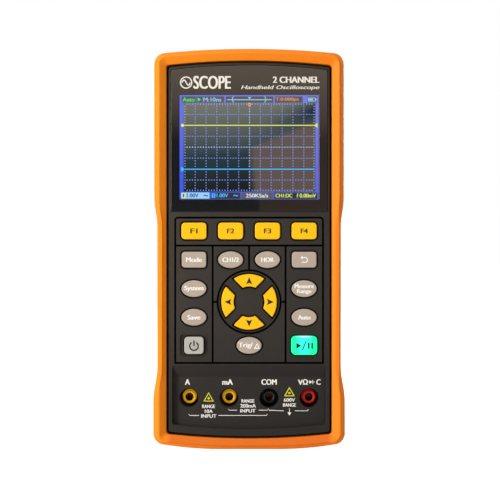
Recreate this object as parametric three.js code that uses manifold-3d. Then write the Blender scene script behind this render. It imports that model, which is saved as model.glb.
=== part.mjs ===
import * as THREE from "three";
import { mergeVertices } from "three/addons/utils/BufferGeometryUtils.js";
import Module from "manifold-3d";

// Handheld two-channel oscilloscope with a multimeter, standing on its lower end.
// Millimetres. +X is the reader's right, -Y is the display side, +Z runs up the length.
// The origin is the middle of the foot, halfway through the depth.

// Clearances
const gap = 0.3;
const keyClearance = 0.35;
const pinClearance = 0.3;
const overcut = 1;

// Facets: points on each curve of an outline, and sides on each round piece
const outlineSegments = 6;
const boreSegments = 8;
const ringSides = 40;
const wellSides = 24;
const barrelSides = 20;
const pinSides = 12;
const smallSides = 10;
const domeSides = 8;
const weldDistance = 1e-4;

// Rubber boot outline, seen from the front
const bootLength = 198;
const bootWidth = 94.8;
const waistInset = 2.0;
const upperInset = 0.5;
const flareTop = 26.8;
const waistBottom = 38.1;
const waistTop = 112.8;
const shoulder = 122.1;
const bootCorner = 5.6;
const footWidth = 28;
const footRise = 2.2;
const headCrown = 2.0;

// Boot section
const sideWall = 6.55;
const topWall = 5.9;
const bottomWall = 5.4;
const ridgeChamfer = 2.4;
const ridgeChamferDepth = 3.0;
const flareSize = 3.65;
const flareDepth = 1.4;

// Case shells
const caseCrown = 2.3;
const caseCorner = 1.0;
const caseWall = 2.0;
const caseStep = 0.75;
const faceGroove = 0.55;
const lipDepth = 2.3;
const gasketThickness = 0.8;
const gasketWidth = 1.4;
const partingOffset = 15.7;

// Depth stack, counted from the boot's front ridge to its back
const faceInset = 2.4;
const faceWall = 2.4;
const keyFlangeThickness = 1.0;
const keyTravel = 0.9;
const matThickness = 1.0;
const domeHeight = 1.4;
const boardThickness = 1.6;
const boardBackSpace = 1.3;
const holderWall = 1.0;
const cellDiameter = 18.4;
const doorThickness = 1.8;
const standThickness = 2.6;
const standInset = 0.4;
const backFaceInset = 1.5;

// Display
const lensHalfWidth = 38.7;
const lensBottom = 117.5;
const lensTopMargin = 2.4;
const lensThickness = 1.3;
const screenWidth = 68.7;
const screenHeight = 51.3;
const screenTopMargin = 17.5;
const windowMargin = 1.0;
const panelMargin = 2.35;
const panelThickness = 2.4;
const trayWall = 0.6;
const trayMargin = 3.5;
const flexWidth = 20;
const flexThickness = 0.3;
const flexLength = 18;

// Keys: each key stands proud of the face and is held behind it by a flange
const keyProud = 0.9;
const keyFlange = 0.9;
const keySegments = 5;
const columnOuter = 27.2;
const columnInner = 9.1;
const functionRow = 107.9;
const firstRow = 93.7;
const secondRow = 79.4;
const thirdRow = 65.3;
const lastRow = 51.4;
const functionKey = { width: 12.4, height: 8.2, corner: 2.0 };
const cornerKey = { width: 12.1, height: 7.8, corner: 1.8 };
const ovalKey = { width: 12.3, height: 8.2 };
const powerKey = { width: 9.6, height: 8.5, corner: 2.0 };
const runKey = { width: 12.8, height: 9.2, corner: 2.4 };
const powerRecess = { width: 13.8, height: 10.8, corner: 1.6, depth: 0.8 };
const ringHeight = 72.9;
const ringGroove = 15.6;
const arrowOuter = 13.9;
const arrowInner = 7.5;
const arrowSpacing = 2.2;
const matMargin = 0.9;
const domeRadius = 2.2;

// Decorative grooves in the face
const grooveWidth = 0.5;
const grooveDepth = 0.5;
const grooveHalf = 36.5;
const grooveColumn = 18.0;
const functionBoxTop = 114.5;
const functionBoxBottom = 100.7;
const plateBottom = 42.7;

// Input panel
const panelHalf = 37.9;
const panelSlopeTop = 41.5;
const panelSlopeBottom = 35.6;
const panelBottom = 10;
const panelCorner = 2;
const panelDepth = 2.7;
const panelWall = 2.0;
const jackHeight = 25.0;
const jackPitch = 19.9;
const wellRadius = 4.7;
const wellWall = 1.6;
const wellDepth = 8.9;
const sleeveRadius = 3.15;
const sleeveBore = 2.05;
const sleeveInset = 4.7;
const sleeveMouth = 1.0;
const jackFlangeRadius = 6.0;
const jackFlangeThickness = 1.8;
const jackTail = 4.9;
const sleeveWall = 0.55;
const contactClearance = 0.2;
const contactWall = 0.4;
const contactFloor = 1.5;
const contactTailRadius = 1.2;
const contactTail = 3.3;
const meterBoardHalf = 33;
const meterBoardBottom = 16;
const meterBoardTop = 40;

// Main board and what stands on it
const boardHalf = 38.5;
const boardBottom = 44;
const boardTop = 180;
const can = { width: 30, height: 34, depth: 3.6, wall: 0.4, x: -19, z: 155 };
const buzzer = { radius: 6, depth: 5, hole: 1.2, x: 28, z: 150 };
const fuseHeight = 51;
const largeFuse = { radius: 5.15, length: 38, x: -16 };
const smallFuse = { radius: 3.15, length: 25.4, x: 20 };
const fuseCap = 6;
const fuseWaist = 0.3;
const holderPlate = 1.0;

// Batteries, seen from the back
const cellLength = 65;
const cellBottom = 64;
const cellGap = 0.6;
const terminalRadius = 2.8;
const terminalHeight = 0.8;
const endWall = 1.2;
const doorTab = 6.2;
const doorSide = 1.0;
const doorScrewRise = 3.2;
const doorScrew = { head: 2.3, headDepth: 0.9, shank: 1.1, length: 6.5 };
const doorBlock = { half: 5, below: 3.4, depth: 7.6 };

// Case screws
const screwX = 35.9;
const lowScrewRise = 6.1;
const highScrewDrop = 6.6;
const screwPost = 3.3;
const rearPost = 4.0;
const screwSeat = 6.0;
const caseScrew = { head: 2.7, headDepth: 1.8, shank: 1.3, length: 22 };
const screwTip = 1.2;

// Tilt stand
const standHalf = 29.7;
const standLength = 84;
const standCorner = 5;
const standSide = 0.4;
const barrelRadius = 2.5;
const barrelRise = 4.8;
const barrelRelief = 0.6;
const pinRadius = 1.1;
const pinSocket = 3.0;
const hingeBlockWall = 2.2;
const fingerNotch = { half: 9, reach: 8, corner: 4 };

// Probe bay in the upper end
const bayHalf = 31;
const bayDepth = 16;
const bayFloor = 12.1;
const bayWall = 2.0;
const bncX = 17;
const bnc = {
  body: 4.85,
  bore: 3.6,
  boreDepth: 9,
  height: 12.5,
  nut: 6.6,
  nutHeight: 2.2,
  tail: 4.4,
  tailLength: 7,
};
const bncLug = { radius: 0.95, reach: 6.1, height: 9.5 };
const bncCore = { foot: 1.6, sleeve: 2.2, height: 5.5, bore: 0.7 };
const usb = {
  width: 9.0,
  height: 3.2,
  corner: 1.5,
  length: 7.5,
  rise: 0.2,
  wall: 0.4,
  floor: 0.8,
  tongue: 0.7,
  tongueWidth: 6.6,
};

// Heights and depths that follow from the sizes above
const openHalf = bootWidth / 2 - sideWall;
const openTop = bootLength - topWall;
const openBottom = bottomWall;
const stackFront = faceInset + faceWall + gap + keyFlangeThickness + keyTravel + gap;
const stackBoard = stackFront + matThickness + domeHeight + gap + boardThickness;
const stackCells = stackBoard + boardBackSpace + holderWall + gap + cellDiameter;
const stackFloor = stackCells + gap + doorThickness;
const depth = stackFloor + gap + standThickness + standInset;
const frontY = -depth / 2;
const backY = depth / 2;
const faceY = frontY + faceInset;
const innerFaceY = faceY + faceWall;
const flangeFrontY = innerFaceY + gap;
const flangeBackY = flangeFrontY + keyFlangeThickness;
const matFrontY = frontY + stackFront;
const matBackY = matFrontY + matThickness;
const boardBackY = frontY + stackBoard;
const boardFrontY = boardBackY - boardThickness;
const holderFrontY = boardBackY + boardBackSpace;
const cellY = holderFrontY + holderWall + gap + cellDiameter / 2;
const floorY = frontY + stackFloor;
const doorInnerY = floorY - doorThickness;
const standFrontY = floorY + gap;
const standBackY = standFrontY + standThickness;
const backFaceY = backY - backFaceInset;
const partingY = frontY + partingOffset;
const frontRimY = partingY - gap - gasketThickness / 2;
const backRimY = partingY + gap + gasketThickness / 2;
const lensTop = openTop - lensTopMargin;
const screenZ = openTop - screenTopMargin - screenHeight / 2;
const panelY = faceY + panelDepth;
const wellEndY = panelY + wellDepth;
const sleeveY = panelY + sleeveInset;
const jackFlangeY = wellEndY + gap;
const jackEndY = jackFlangeY + jackFlangeThickness + jackTail;
const meterBoardY = jackEndY + gap;
const jackXs = [-1.5, -0.5, 0.5, 1.5].map((step) => step * jackPitch);
const cellTop = cellBottom + cellLength;
const cellX = (cellDiameter + cellGap) / 2;
const holderHalf = cellX + cellDiameter / 2 + gap + endWall;
const holderBottom = cellBottom - gap - endWall;
const holderTop = cellTop + gap + endWall;
const doorHalf = holderHalf + doorSide;
const doorTop = holderTop + doorSide;
const doorBottom = holderBottom - doorTab;
const doorScrewZ = doorBottom + doorScrewRise;
const hingeZ = doorTop + barrelRise;
const hingeY = standBackY - barrelRadius;
const standBottom = hingeZ - standLength;
const bayFrontY = backRimY + bayWall;
const bayBackY = bayFrontY + bayDepth;
const bncY = (bayFrontY + bayBackY) / 2;
const bayBase = openTop - bayFloor;
const screwZs = [openBottom + lowScrewRise, openTop - highScrewDrop];
const screwSpots = [-screwX, screwX].flatMap((x) => screwZs.map((z) => [x, z]));

// Surface finishes
const paint = (color, roughness, metalness = 0) => ({ color, roughness, metalness });
const orangeRubber = paint(0xff9628, 0.62);
const caseBlack = paint(0x2e2a26, 0.6);
const lensBlack = paint(0x17150f, 0.12);
const screenGlass = paint(0x10121a, 0.1);
const keyYellow = paint(0xffd60a, 0.45);
const keyGrey = paint(0xa59b91, 0.5);
const keyPale = paint(0xc8c3b4, 0.5);
const keyGreen = paint(0x0aeb96, 0.4);
const matRubber = paint(0x3a3a3c, 0.8);
const boardGreen = paint(0x1f5a34, 0.55);
const tinPlate = paint(0xc4c6c8, 0.35, 1);
const nickel = paint(0xcfccc4, 0.25, 1);
const brass = paint(0xc9a24a, 0.3, 1);
const ceramic = paint(0xe9e6dc, 0.55);
const fluoroplastic = paint(0xf2f0ea, 0.45);
const blackPlastic = paint(0x1d1d1e, 0.5);
const redPlastic = paint(0xd0181c, 0.4);
const yellowPlastic = paint(0xe8c818, 0.4);
const cellWrap = paint(0x2b6cb0, 0.4);
const steel = paint(0x8d8f92, 0.35, 1);
const flexAmber = paint(0xb9702a, 0.4);

const wasm = await Module();
wasm.setup();

// A closed three.js geometry as a solid that can be joined and cut.
function toSolid(geometry) {
  const bare = geometry.index ? geometry.toNonIndexed() : geometry.clone();
  bare.deleteAttribute("normal");
  bare.deleteAttribute("uv");
  const merged = mergeVertices(bare, weldDistance);
  return new wasm.Manifold(
    new wasm.Mesh({
      numProp: 3,
      vertProperties: new Float32Array(merged.attributes.position.array),
      triVerts: new Uint32Array(merged.index.array),
    }),
  );
}

function toGeometry(solid) {
  const mesh = solid.getMesh();
  const geometry = new THREE.BufferGeometry();
  geometry.setAttribute("position", new THREE.BufferAttribute(mesh.vertProperties, 3));
  geometry.setIndex(new THREE.BufferAttribute(mesh.triVerts, 1));
  const flat = geometry.toNonIndexed();
  flat.computeVertexNormals();
  return flat;
}

const join = (...solids) => solids.reduce((whole, next) => whole.add(next));
const cut = (whole, ...tools) => tools.reduce((rest, tool) => rest.subtract(tool), whole);

// A box between two corners.
function block(low, high) {
  const size = high.map((value, axis) => value - low[axis]);
  const geometry = new THREE.BoxGeometry(...size);
  geometry.translate(...low.map((value, axis) => value + size[axis] / 2));
  return toSolid(geometry);
}

// A shape drawn in x and z, carried through the depth from one y to another.
function prism(shape, fromY, toY, segments = 3) {
  const settings = { depth: toY - fromY, bevelEnabled: false, curveSegments: segments };
  const geometry = new THREE.ExtrudeGeometry(shape, settings);
  geometry.rotateX(Math.PI / 2);
  geometry.translate(0, toY, 0);
  return toSolid(geometry);
}

// A shape drawn in x and y, carried up from one z to another.
function column(shape, fromZ, toZ, segments = 3) {
  const settings = { depth: toZ - fromZ, bevelEnabled: false, curveSegments: segments };
  const geometry = new THREE.ExtrudeGeometry(shape, settings);
  geometry.translate(0, 0, fromZ);
  return toSolid(geometry);
}

// A cylinder through the depth at a place in x and z.
function rod(x, z, radius, fromY, toY, sides = 16) {
  const geometry = new THREE.CylinderGeometry(radius, radius, toY - fromY, sides);
  geometry.translate(x, (fromY + toY) / 2, z);
  return toSolid(geometry);
}

// A cylinder across the width.
function crossRod(y, z, radius, fromX, toX, sides = 16) {
  const geometry = new THREE.CylinderGeometry(radius, radius, toX - fromX, sides);
  geometry.rotateZ(Math.PI / 2);
  geometry.translate((fromX + toX) / 2, y, z);
  return toSolid(geometry);
}

// A turned piece about the y axis, from a profile of [radius, distance along the axis] pairs.
function turned(profile, sides = 16) {
  const points = profile.map(([radius, along]) => new THREE.Vector2(radius, along));
  const closed = points[0].x > 0 ? [...points, points[0].clone()] : points;
  return new THREE.LatheGeometry(closed, sides);
}

// The case outline, grown outwards: straight sides, crowned ends, small corners.
function caseShape(grow, crown = caseCrown) {
  return crownedShape(openHalf + grow, openBottom - grow, openTop + grow, crown, caseCorner);
}

function crownedShape(half, low, high, crown, corner) {
  const lowEnd = low + crown;
  const highEnd = high - crown;
  const shape = new THREE.Shape();
  shape.moveTo(-half + corner, lowEnd);
  shape.quadraticCurveTo(0, 2 * low - lowEnd, half - corner, lowEnd);
  shape.quadraticCurveTo(half, lowEnd, half, lowEnd + corner);
  shape.lineTo(half, highEnd - corner);
  shape.quadraticCurveTo(half, highEnd, half - corner, highEnd);
  shape.quadraticCurveTo(0, 2 * high - highEnd, -half + corner, highEnd);
  shape.quadraticCurveTo(-half, highEnd, -half, highEnd - corner);
  shape.lineTo(-half, lowEnd + corner);
  shape.quadraticCurveTo(-half, lowEnd, -half + corner, lowEnd);
  return shape;
}

// The boot's outer outline: flared foot, narrow waist, wider head.
function bootShape() {
  const low = bootWidth / 2;
  const waist = low - waistInset;
  const upper = low - upperInset;
  const foot = footWidth / 2;
  const bend = (foot + low - bootCorner) / 2;
  const headEnd = bootLength - headCrown;
  const shape = new THREE.Shape();
  shape.moveTo(-foot, 0);
  shape.lineTo(foot, 0);
  shape.quadraticCurveTo(bend, 0, low - bootCorner, footRise);
  shape.quadraticCurveTo(low, footRise, low, footRise + bootCorner);
  shape.lineTo(low, flareTop);
  shape.lineTo(waist, waistBottom);
  shape.lineTo(waist, waistTop);
  shape.lineTo(upper, shoulder);
  shape.lineTo(upper, headEnd - bootCorner);
  shape.quadraticCurveTo(upper, headEnd, upper - bootCorner, headEnd);
  shape.quadraticCurveTo(0, bootLength + headCrown, bootCorner - upper, headEnd);
  shape.quadraticCurveTo(-upper, headEnd, -upper, headEnd - bootCorner);
  shape.lineTo(-upper, shoulder);
  shape.lineTo(-waist, waistTop);
  shape.lineTo(-waist, waistBottom);
  shape.lineTo(-low, flareTop);
  shape.lineTo(-low, footRise + bootCorner);
  shape.quadraticCurveTo(-low, footRise, bootCorner - low, footRise);
  shape.quadraticCurveTo(-bend, 0, -foot, 0);
  return shape;
}

function roundedShape(x, z, width, height, corner) {
  const left = x - width / 2;
  const right = x + width / 2;
  const low = z - height / 2;
  const high = z + height / 2;
  const shape = new THREE.Shape();
  shape.moveTo(left + corner, low);
  shape.lineTo(right - corner, low);
  shape.quadraticCurveTo(right, low, right, low + corner);
  shape.lineTo(right, high - corner);
  shape.quadraticCurveTo(right, high, right - corner, high);
  shape.lineTo(left + corner, high);
  shape.quadraticCurveTo(left, high, left, high - corner);
  shape.lineTo(left, low + corner);
  shape.quadraticCurveTo(left, low, left + corner, low);
  return shape;
}

function ovalShape(x, z, width, height) {
  const shape = new THREE.Shape();
  shape.absellipse(x, z, width / 2, height / 2, 0, 2 * Math.PI);
  return shape;
}

// One arrow key: a piece of a ring whose two sides run beside the ring's diagonals.
function arrowShape(turn, grow) {
  const outer = arrowOuter + grow;
  const inner = arrowInner - grow;
  const side = arrowSpacing - grow;
  const outerHalf = Math.PI / 4 - Math.asin(side / outer);
  const innerHalf = Math.PI / 4 - Math.asin(side / inner);
  const shape = new THREE.Shape();
  shape.absarc(0, ringHeight, outer, turn - outerHalf, turn + outerHalf);
  shape.absarc(0, ringHeight, inner, turn + innerHalf, turn - innerHalf, true);
  return shape;
}

// Each key: its name, its finish and its outline grown by a margin.
function keyList() {
  const rounded = (x, z, size) => (grow) => {
    const width = size.width + 2 * grow;
    return roundedShape(x, z, width, size.height + 2 * grow, size.corner + grow);
  };
  const oval = (x, z) => (grow) => {
    const width = ovalKey.width + 2 * grow;
    return ovalShape(x, z, width, ovalKey.height + 2 * grow);
  };
  const arrow = (turn) => (grow) => arrowShape(turn, grow);
  const columns = [-columnOuter, -columnInner, columnInner, columnOuter];
  const functionKeys = columns.map((x, index) => ({
    name: `key_f${index + 1}`,
    finish: keyYellow,
    outline: rounded(x, functionRow, functionKey),
  }));
  const arrows = ["right", "up", "left", "down"].map((name, index) => ({
    name: `key_${name}`,
    finish: keyYellow,
    outline: arrow((index * Math.PI) / 2),
  }));
  return [
    ...functionKeys,
    { name: "key_mode", finish: keyGrey, outline: rounded(-columnOuter, firstRow, cornerKey) },
    { name: "key_channel", finish: keyGrey, outline: oval(-columnInner, firstRow) },
    { name: "key_horizontal", finish: keyGrey, outline: oval(columnInner, firstRow) },
    { name: "key_back", finish: keyGrey, outline: rounded(columnOuter, firstRow, cornerKey) },
    { name: "key_system", finish: keyGrey, outline: oval(-columnOuter, secondRow) },
    { name: "key_measure", finish: keyGrey, outline: oval(columnOuter, secondRow) },
    { name: "key_save", finish: keyGrey, outline: oval(-columnOuter, thirdRow) },
    { name: "key_auto", finish: keyGrey, outline: oval(columnOuter, thirdRow) },
    { name: "key_power", finish: keyPale, outline: rounded(-columnOuter, lastRow, powerKey) },
    { name: "key_trigger", finish: keyGrey, outline: oval(0, lastRow) },
    { name: "key_run", finish: keyGreen, outline: rounded(columnOuter, lastRow, runKey) },
    ...arrows,
  ];
}

function key(outline) {
  const cap = prism(outline(0), faceY - keyProud, flangeBackY - gap, keySegments);
  const flange = prism(outline(keyFlange), flangeFrontY, flangeBackY, keySegments);
  return join(cap, flange);
}

function keyMat(keys) {
  const half = columnOuter + ovalKey.width / 2 + matMargin;
  const low = [-half, matFrontY, plateBottom + matMargin + keyFlange];
  const high = [half, matBackY, functionBoxTop - matMargin];
  const domes = keys.map(({ outline }) => {
    const box = new THREE.Box2().setFromPoints(outline(0).getPoints());
    const centre = box.getCenter(new THREE.Vector2());
    const end = matBackY + domeHeight;
    return rod(centre.x, centre.y, domeRadius, matBackY - gap, end, domeSides);
  });
  return join(block(low, high), ...domes);
}

// Boot: an outline with chamfered edges, hollowed for the case, open at the face and the back.
function boot() {
  const settings = {
    depth: depth - 2 * ridgeChamferDepth,
    bevelSize: ridgeChamfer,
    bevelOffset: -ridgeChamfer,
    bevelThickness: ridgeChamferDepth,
    bevelSegments: 1,
    curveSegments: outlineSegments,
  };
  const outer = new THREE.ExtrudeGeometry(bootShape(), settings);
  outer.rotateX(Math.PI / 2);
  outer.translate(0, backY - ridgeChamferDepth, 0);
  const flareSettings = {
    depth: overcut,
    bevelSize: flareSize,
    bevelThickness: flareDepth,
    bevelSegments: 1,
    curveSegments: outlineSegments,
  };
  const flare = new THREE.ExtrudeGeometry(caseShape(0), flareSettings);
  flare.rotateX(Math.PI / 2);
  flare.translate(0, frontY, 0);
  const window = block(
    [-bayHalf - gap, bayFrontY - gap, openTop - caseWall],
    [bayHalf + gap, bayBackY + gap, bootLength + overcut],
  );
  return cut(
    toSolid(outer),
    prism(caseShape(0), frontY - overcut, backY + overcut, outlineSegments),
    prism(caseShape(caseStep + gap), faceY + lipDepth - gap, backFaceY - lipDepth + gap, outlineSegments),
    toSolid(flare),
    window,
  );
}

const hollow = (fromY, toY) => prism(caseShape(caseStep - caseWall), fromY, toY, outlineSegments);

// A straight groove in the face between two places in x and z.
function faceGrooveCut(fromX, fromZ, toX, toZ) {
  const half = grooveWidth / 2;
  return block(
    [Math.min(fromX, toX) - half, faceY - overcut, Math.min(fromZ, toZ) - half],
    [Math.max(fromX, toX) + half, faceY + grooveDepth, Math.max(fromZ, toZ) + half],
  );
}

function faceGrooves() {
  const ring = cut(
    rod(0, ringHeight, ringGroove + grooveWidth / 2, faceY - overcut, faceY + grooveDepth, ringSides),
    rod(0, ringHeight, ringGroove - grooveWidth / 2, faceY - 2 * overcut, faceY + overcut, ringSides),
  );
  const ringTop = ringHeight + ringGroove;
  const sides = [-1, 1].flatMap((side) => [
    faceGrooveCut(side * grooveHalf, plateBottom, side * grooveHalf, functionBoxTop),
    faceGrooveCut(side * grooveColumn, plateBottom, side * grooveColumn, functionBoxBottom),
    faceGrooveCut(side * grooveColumn, ringHeight, side * ringGroove, ringHeight),
  ]);
  return [
    ring,
    ...sides,
    faceGrooveCut(-grooveHalf, functionBoxTop, grooveHalf, functionBoxTop),
    faceGrooveCut(-grooveHalf, functionBoxBottom, grooveHalf, functionBoxBottom),
    faceGrooveCut(-grooveHalf, plateBottom, grooveHalf, plateBottom),
    faceGrooveCut(0, ringTop, 0, functionBoxBottom),
  ];
}

// The sunken input panel: a sloped band runs down to a flat floor.
function panelRecess() {
  const profile = new THREE.Shape();
  profile.moveTo(faceY - overcut, 0);
  profile.lineTo(panelY, 0);
  profile.lineTo(panelY, panelSlopeBottom);
  profile.lineTo(faceY, panelSlopeTop);
  profile.lineTo(faceY - overcut, panelSlopeTop);
  profile.closePath();
  const top = panelSlopeTop + 2 * caseCrown;
  const outline = crownedShape(panelHalf, panelBottom, top, caseCrown, panelCorner);
  const floorCut = prism(outline, faceY - 2 * overcut, panelY + overcut, outlineSegments);
  return toSolid(acrossPanel(profile)).intersect(floorCut);
}

// A profile drawn in y and z, carried across the panel's width.
function acrossPanel(profile) {
  const settings = { depth: 2 * panelHalf, bevelEnabled: false };
  const turn = new THREE.Matrix4();
  turn.set(0, 0, 1, -panelHalf, 1, 0, 0, 0, 0, 1, 0, 0, 0, 0, 0, 1);
  return new THREE.ExtrudeGeometry(profile, settings).applyMatrix4(turn);
}

function frontCover(keys) {
  const bodyFrontY = faceY + lipDepth;
  const shell = join(
    prism(caseShape(-faceGroove), faceY, bodyFrontY, outlineSegments),
    prism(caseShape(caseStep), bodyFrontY, frontRimY, outlineSegments),
  );
  const inside = hollow(innerFaceY, frontRimY + overcut);
  const panelBack = block(
    [-openHalf, innerFaceY - gap, openBottom - overcut],
    [openHalf, panelY + panelWall, panelSlopeTop + panelWall],
  ).intersect(hollow(innerFaceY - gap, frontRimY));
  const wellY = panelY + panelWall - gap;
  const bosses = jackXs.map((x) => rod(x, jackHeight, wellRadius + wellWall, wellY, wellEndY, wellSides));
  const wells = jackXs.map((x) =>
    rod(x, jackHeight, wellRadius, panelY - overcut, wellEndY + overcut, wellSides),
  );
  const posts = screwSpots.map(([x, z]) => rod(x, z, screwPost, innerFaceY - gap, frontRimY, pinSides));
  const screwEndY = backFaceY - screwSeat - caseScrew.length - screwTip;
  const screwHoles = screwSpots.map(([x, z]) =>
    rod(x, z, caseScrew.shank + gap, screwEndY, frontRimY + overcut, pinSides),
  );
  const lensPocket = prism(
    lensShape(gap),
    faceY - overcut,
    faceY + lensThickness + gap,
    outlineSegments,
  );
  const window = block(
    [-screenWidth / 2 - windowMargin, faceY, screenZ - screenHeight / 2 - windowMargin],
    [screenWidth / 2 + windowMargin, flangeBackY, screenZ + screenHeight / 2 + windowMargin],
  );
  const keyHoles = keys.map(({ outline }) =>
    prism(outline(keyClearance), faceY - overcut, innerFaceY + overcut, keySegments),
  );
  const { width, height, corner } = powerRecess;
  const powerPocket = prism(
    roundedShape(-columnOuter, lastRow, width, height, corner),
    faceY - overcut,
    faceY + powerRecess.depth,
  );
  const hollowed = join(cut(shell, inside), panelBack, ...bosses, ...posts);
  return cut(
    hollowed,
    panelRecess(),
    ...wells,
    ...screwHoles,
    lensPocket,
    window,
    powerPocket,
    ...keyHoles,
    ...faceGrooves(),
  );
}

function lensShape(grow) {
  const half = lensHalfWidth + grow;
  const low = lensBottom - grow;
  const high = lensTop + grow;
  const highEnd = high - caseCrown;
  const shape = new THREE.Shape();
  shape.moveTo(-half, low);
  shape.lineTo(half, low);
  shape.lineTo(half, highEnd - caseCorner);
  shape.quadraticCurveTo(half, highEnd, half - caseCorner, highEnd);
  shape.quadraticCurveTo(0, 2 * high - highEnd, caseCorner - half, highEnd);
  shape.quadraticCurveTo(-half, highEnd, -half, highEnd - caseCorner);
  shape.closePath();
  return shape;
}

function rearCover() {
  const bodyBackY = backFaceY - lipDepth;
  const shell = join(
    prism(caseShape(caseStep), backRimY, bodyBackY, outlineSegments),
    prism(caseShape(-faceGroove), bodyBackY, backFaceY, outlineSegments),
  );
  const room = hollow(backRimY - overcut, doorInnerY);
  const bayBlock = block(
    [-bayHalf - bayWall, backRimY, bayBase - bayWall],
    [bayHalf + bayWall, doorInnerY + gap, openTop + caseStep],
  ).intersect(prism(caseShape(caseStep - gap), backRimY - overcut, backY, outlineSegments));
  const hingeReach = standHalf + standSide + pinSocket + overcut;
  const hingeFrontY = hingeY - barrelRadius - barrelRelief - hingeBlockWall;
  const hingeRise = barrelRadius + hingeBlockWall;
  const hingeBlock = block(
    [-hingeReach, hingeFrontY, hingeZ - hingeRise],
    [hingeReach, doorInnerY + gap, hingeZ + hingeRise],
  );
  const screwBlock = join(
    block(
      [-doorBlock.half, doorInnerY - gap - doorBlock.depth, doorBottom - doorBlock.below],
      [doorBlock.half, doorInnerY - gap, holderBottom - gap],
    ),
    block(
      [-doorBlock.half, doorInnerY - 2 * gap, doorBottom - doorBlock.below],
      [doorBlock.half, doorInnerY + gap, doorBottom - gap],
    ),
  );
  const posts = screwSpots.map(([x, z]) => rod(x, z, rearPost, backRimY, doorInnerY + gap, pinSides));
  const body = join(cut(shell, room), bayBlock, hingeBlock, screwBlock, ...posts);
  const doorScrewEndY = doorInnerY - doorScrew.length - gap;
  return cut(
    body,
    block([-bayHalf, bayFrontY, bayBase], [bayHalf, bayBackY, bootLength]),
    bayHole(ovalShape(-bncX, bncY, 2 * (bnc.tail + gap), 2 * (bnc.tail + gap))),
    bayHole(ovalShape(bncX, bncY, 2 * (bnc.tail + gap), 2 * (bnc.tail + gap))),
    bayHole(usbShape(gap)),
    standRecess(),
    doorOpening(),
    rod(0, doorScrewZ, doorScrew.shank + gap, doorScrewEndY, backY, pinSides),
    ...screwSpots.map(([x, z]) => rod(x, z, caseScrew.head + gap, backFaceY - screwSeat, backY)),
    ...screwSpots.map(([x, z]) => rod(x, z, caseScrew.shank + gap, backRimY - overcut, backY, pinSides)),
  );
}

// A hole in the bay's floor.
function bayHole(outline) {
  return column(outline, bayBase - 2 * bayWall, bayBase + overcut, boreSegments);
}

function usbShape(grow) {
  return roundedShape(0, bncY, usb.width + 2 * grow, usb.height + 2 * grow, usb.corner + grow);
}

// A plate's outline with rounded lower corners and a square upper edge.
function tabShape(half, low, high, corner) {
  const shape = new THREE.Shape();
  shape.moveTo(corner - half, low);
  shape.lineTo(half - corner, low);
  shape.quadraticCurveTo(half, low, half, low + corner);
  shape.lineTo(half, high);
  shape.lineTo(-half, high);
  shape.lineTo(-half, low + corner);
  shape.quadraticCurveTo(-half, low, corner - half, low);
  return shape;
}

// Where the stand lies folded, with a trough for its barrel, sockets for its pin and a finger notch.
function standRecess() {
  const half = standHalf + standSide;
  const low = standBottom - standSide;
  const reach = half + pinSocket;
  const relief = barrelRadius + barrelRelief;
  const plate = prism(tabShape(half, low, hingeZ, standCorner), floorY, backY);
  const above = block([-half, hingeY, hingeZ - overcut], [half, backY, hingeZ + relief]);
  const trough = crossRod(hingeY, hingeZ, relief, -half, half, barrelSides);
  const sockets = crossRod(hingeY, hingeZ, pinRadius + pinClearance, -reach, reach, pinSides);
  const { half: reachSide, reach: notchReach, corner } = fingerNotch;
  const notch = prism(roundedShape(0, low, 2 * reachSide, 2 * notchReach, corner), floorY, backY);
  return join(plate, above, trough, sockets, notch);
}

function doorOpening() {
  const low = [-doorHalf - gap, doorInnerY - gap, doorBottom - gap];
  const high = [doorHalf + gap, backY, doorTop + gap];
  return block(low, high);
}

function batteryCover() {
  const low = [-doorHalf, doorInnerY, doorBottom];
  const high = [doorHalf, floorY, doorTop];
  return cut(
    block(low, high),
    rod(0, doorScrewZ, doorScrew.shank + gap, doorInnerY - overcut, floorY + overcut, pinSides),
    rod(0, doorScrewZ, doorScrew.head + gap, floorY - doorScrew.headDepth - gap, floorY + overcut),
  );
}

// A screw through the depth with its head towards the back.
function screw(x, z, size, headFrontY) {
  return join(
    rod(x, z, size.head, headFrontY, headFrontY + size.headDepth),
    rod(x, z, size.shank, headFrontY - size.length, headFrontY + gap, pinSides),
  );
}

function gasket() {
  const half = gasketThickness / 2;
  const outer = caseShape(caseStep - gap);
  const inner = caseShape(caseStep - gap - gasketWidth);
  return cut(
    prism(outer, partingY - half, partingY + half, outlineSegments),
    prism(inner, partingY - overcut, partingY + overcut, outlineSegments),
  );
}

function lcdPanel() {
  const halfWidth = screenWidth / 2 + panelMargin;
  const halfHeight = screenHeight / 2 + panelMargin;
  return block(
    [-halfWidth, flangeFrontY, screenZ - halfHeight],
    [halfWidth, flangeFrontY + panelThickness, screenZ + halfHeight],
  );
}

function lcdTray() {
  const outerWidth = screenWidth / 2 + trayMargin;
  const outerHeight = screenHeight / 2 + trayMargin;
  const innerWidth = outerWidth - trayWall;
  const innerHeight = outerHeight - trayWall;
  const trayBackY = flangeFrontY + panelThickness + gap;
  return cut(
    block(
      [-outerWidth, flangeFrontY, screenZ - outerHeight],
      [outerWidth, trayBackY + trayWall, screenZ + outerHeight],
    ),
    block(
      [-innerWidth, flangeFrontY - overcut, screenZ - innerHeight],
      [innerWidth, trayBackY, screenZ + innerHeight],
    ),
  );
}

function lcdFlex() {
  const trayBackY = flangeFrontY + panelThickness + gap + trayWall;
  const flexY = (trayBackY + boardFrontY - flexThickness) / 2;
  const low = screenZ - screenHeight / 2 - trayMargin;
  return block(
    [-flexWidth / 2, flexY, low - flexLength / 4],
    [flexWidth / 2, flexY + flexThickness, low + flexLength],
  );
}

function mainBoard() {
  return block([-boardHalf, boardFrontY, boardBottom], [boardHalf, boardBackY, boardTop]);
}

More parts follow.
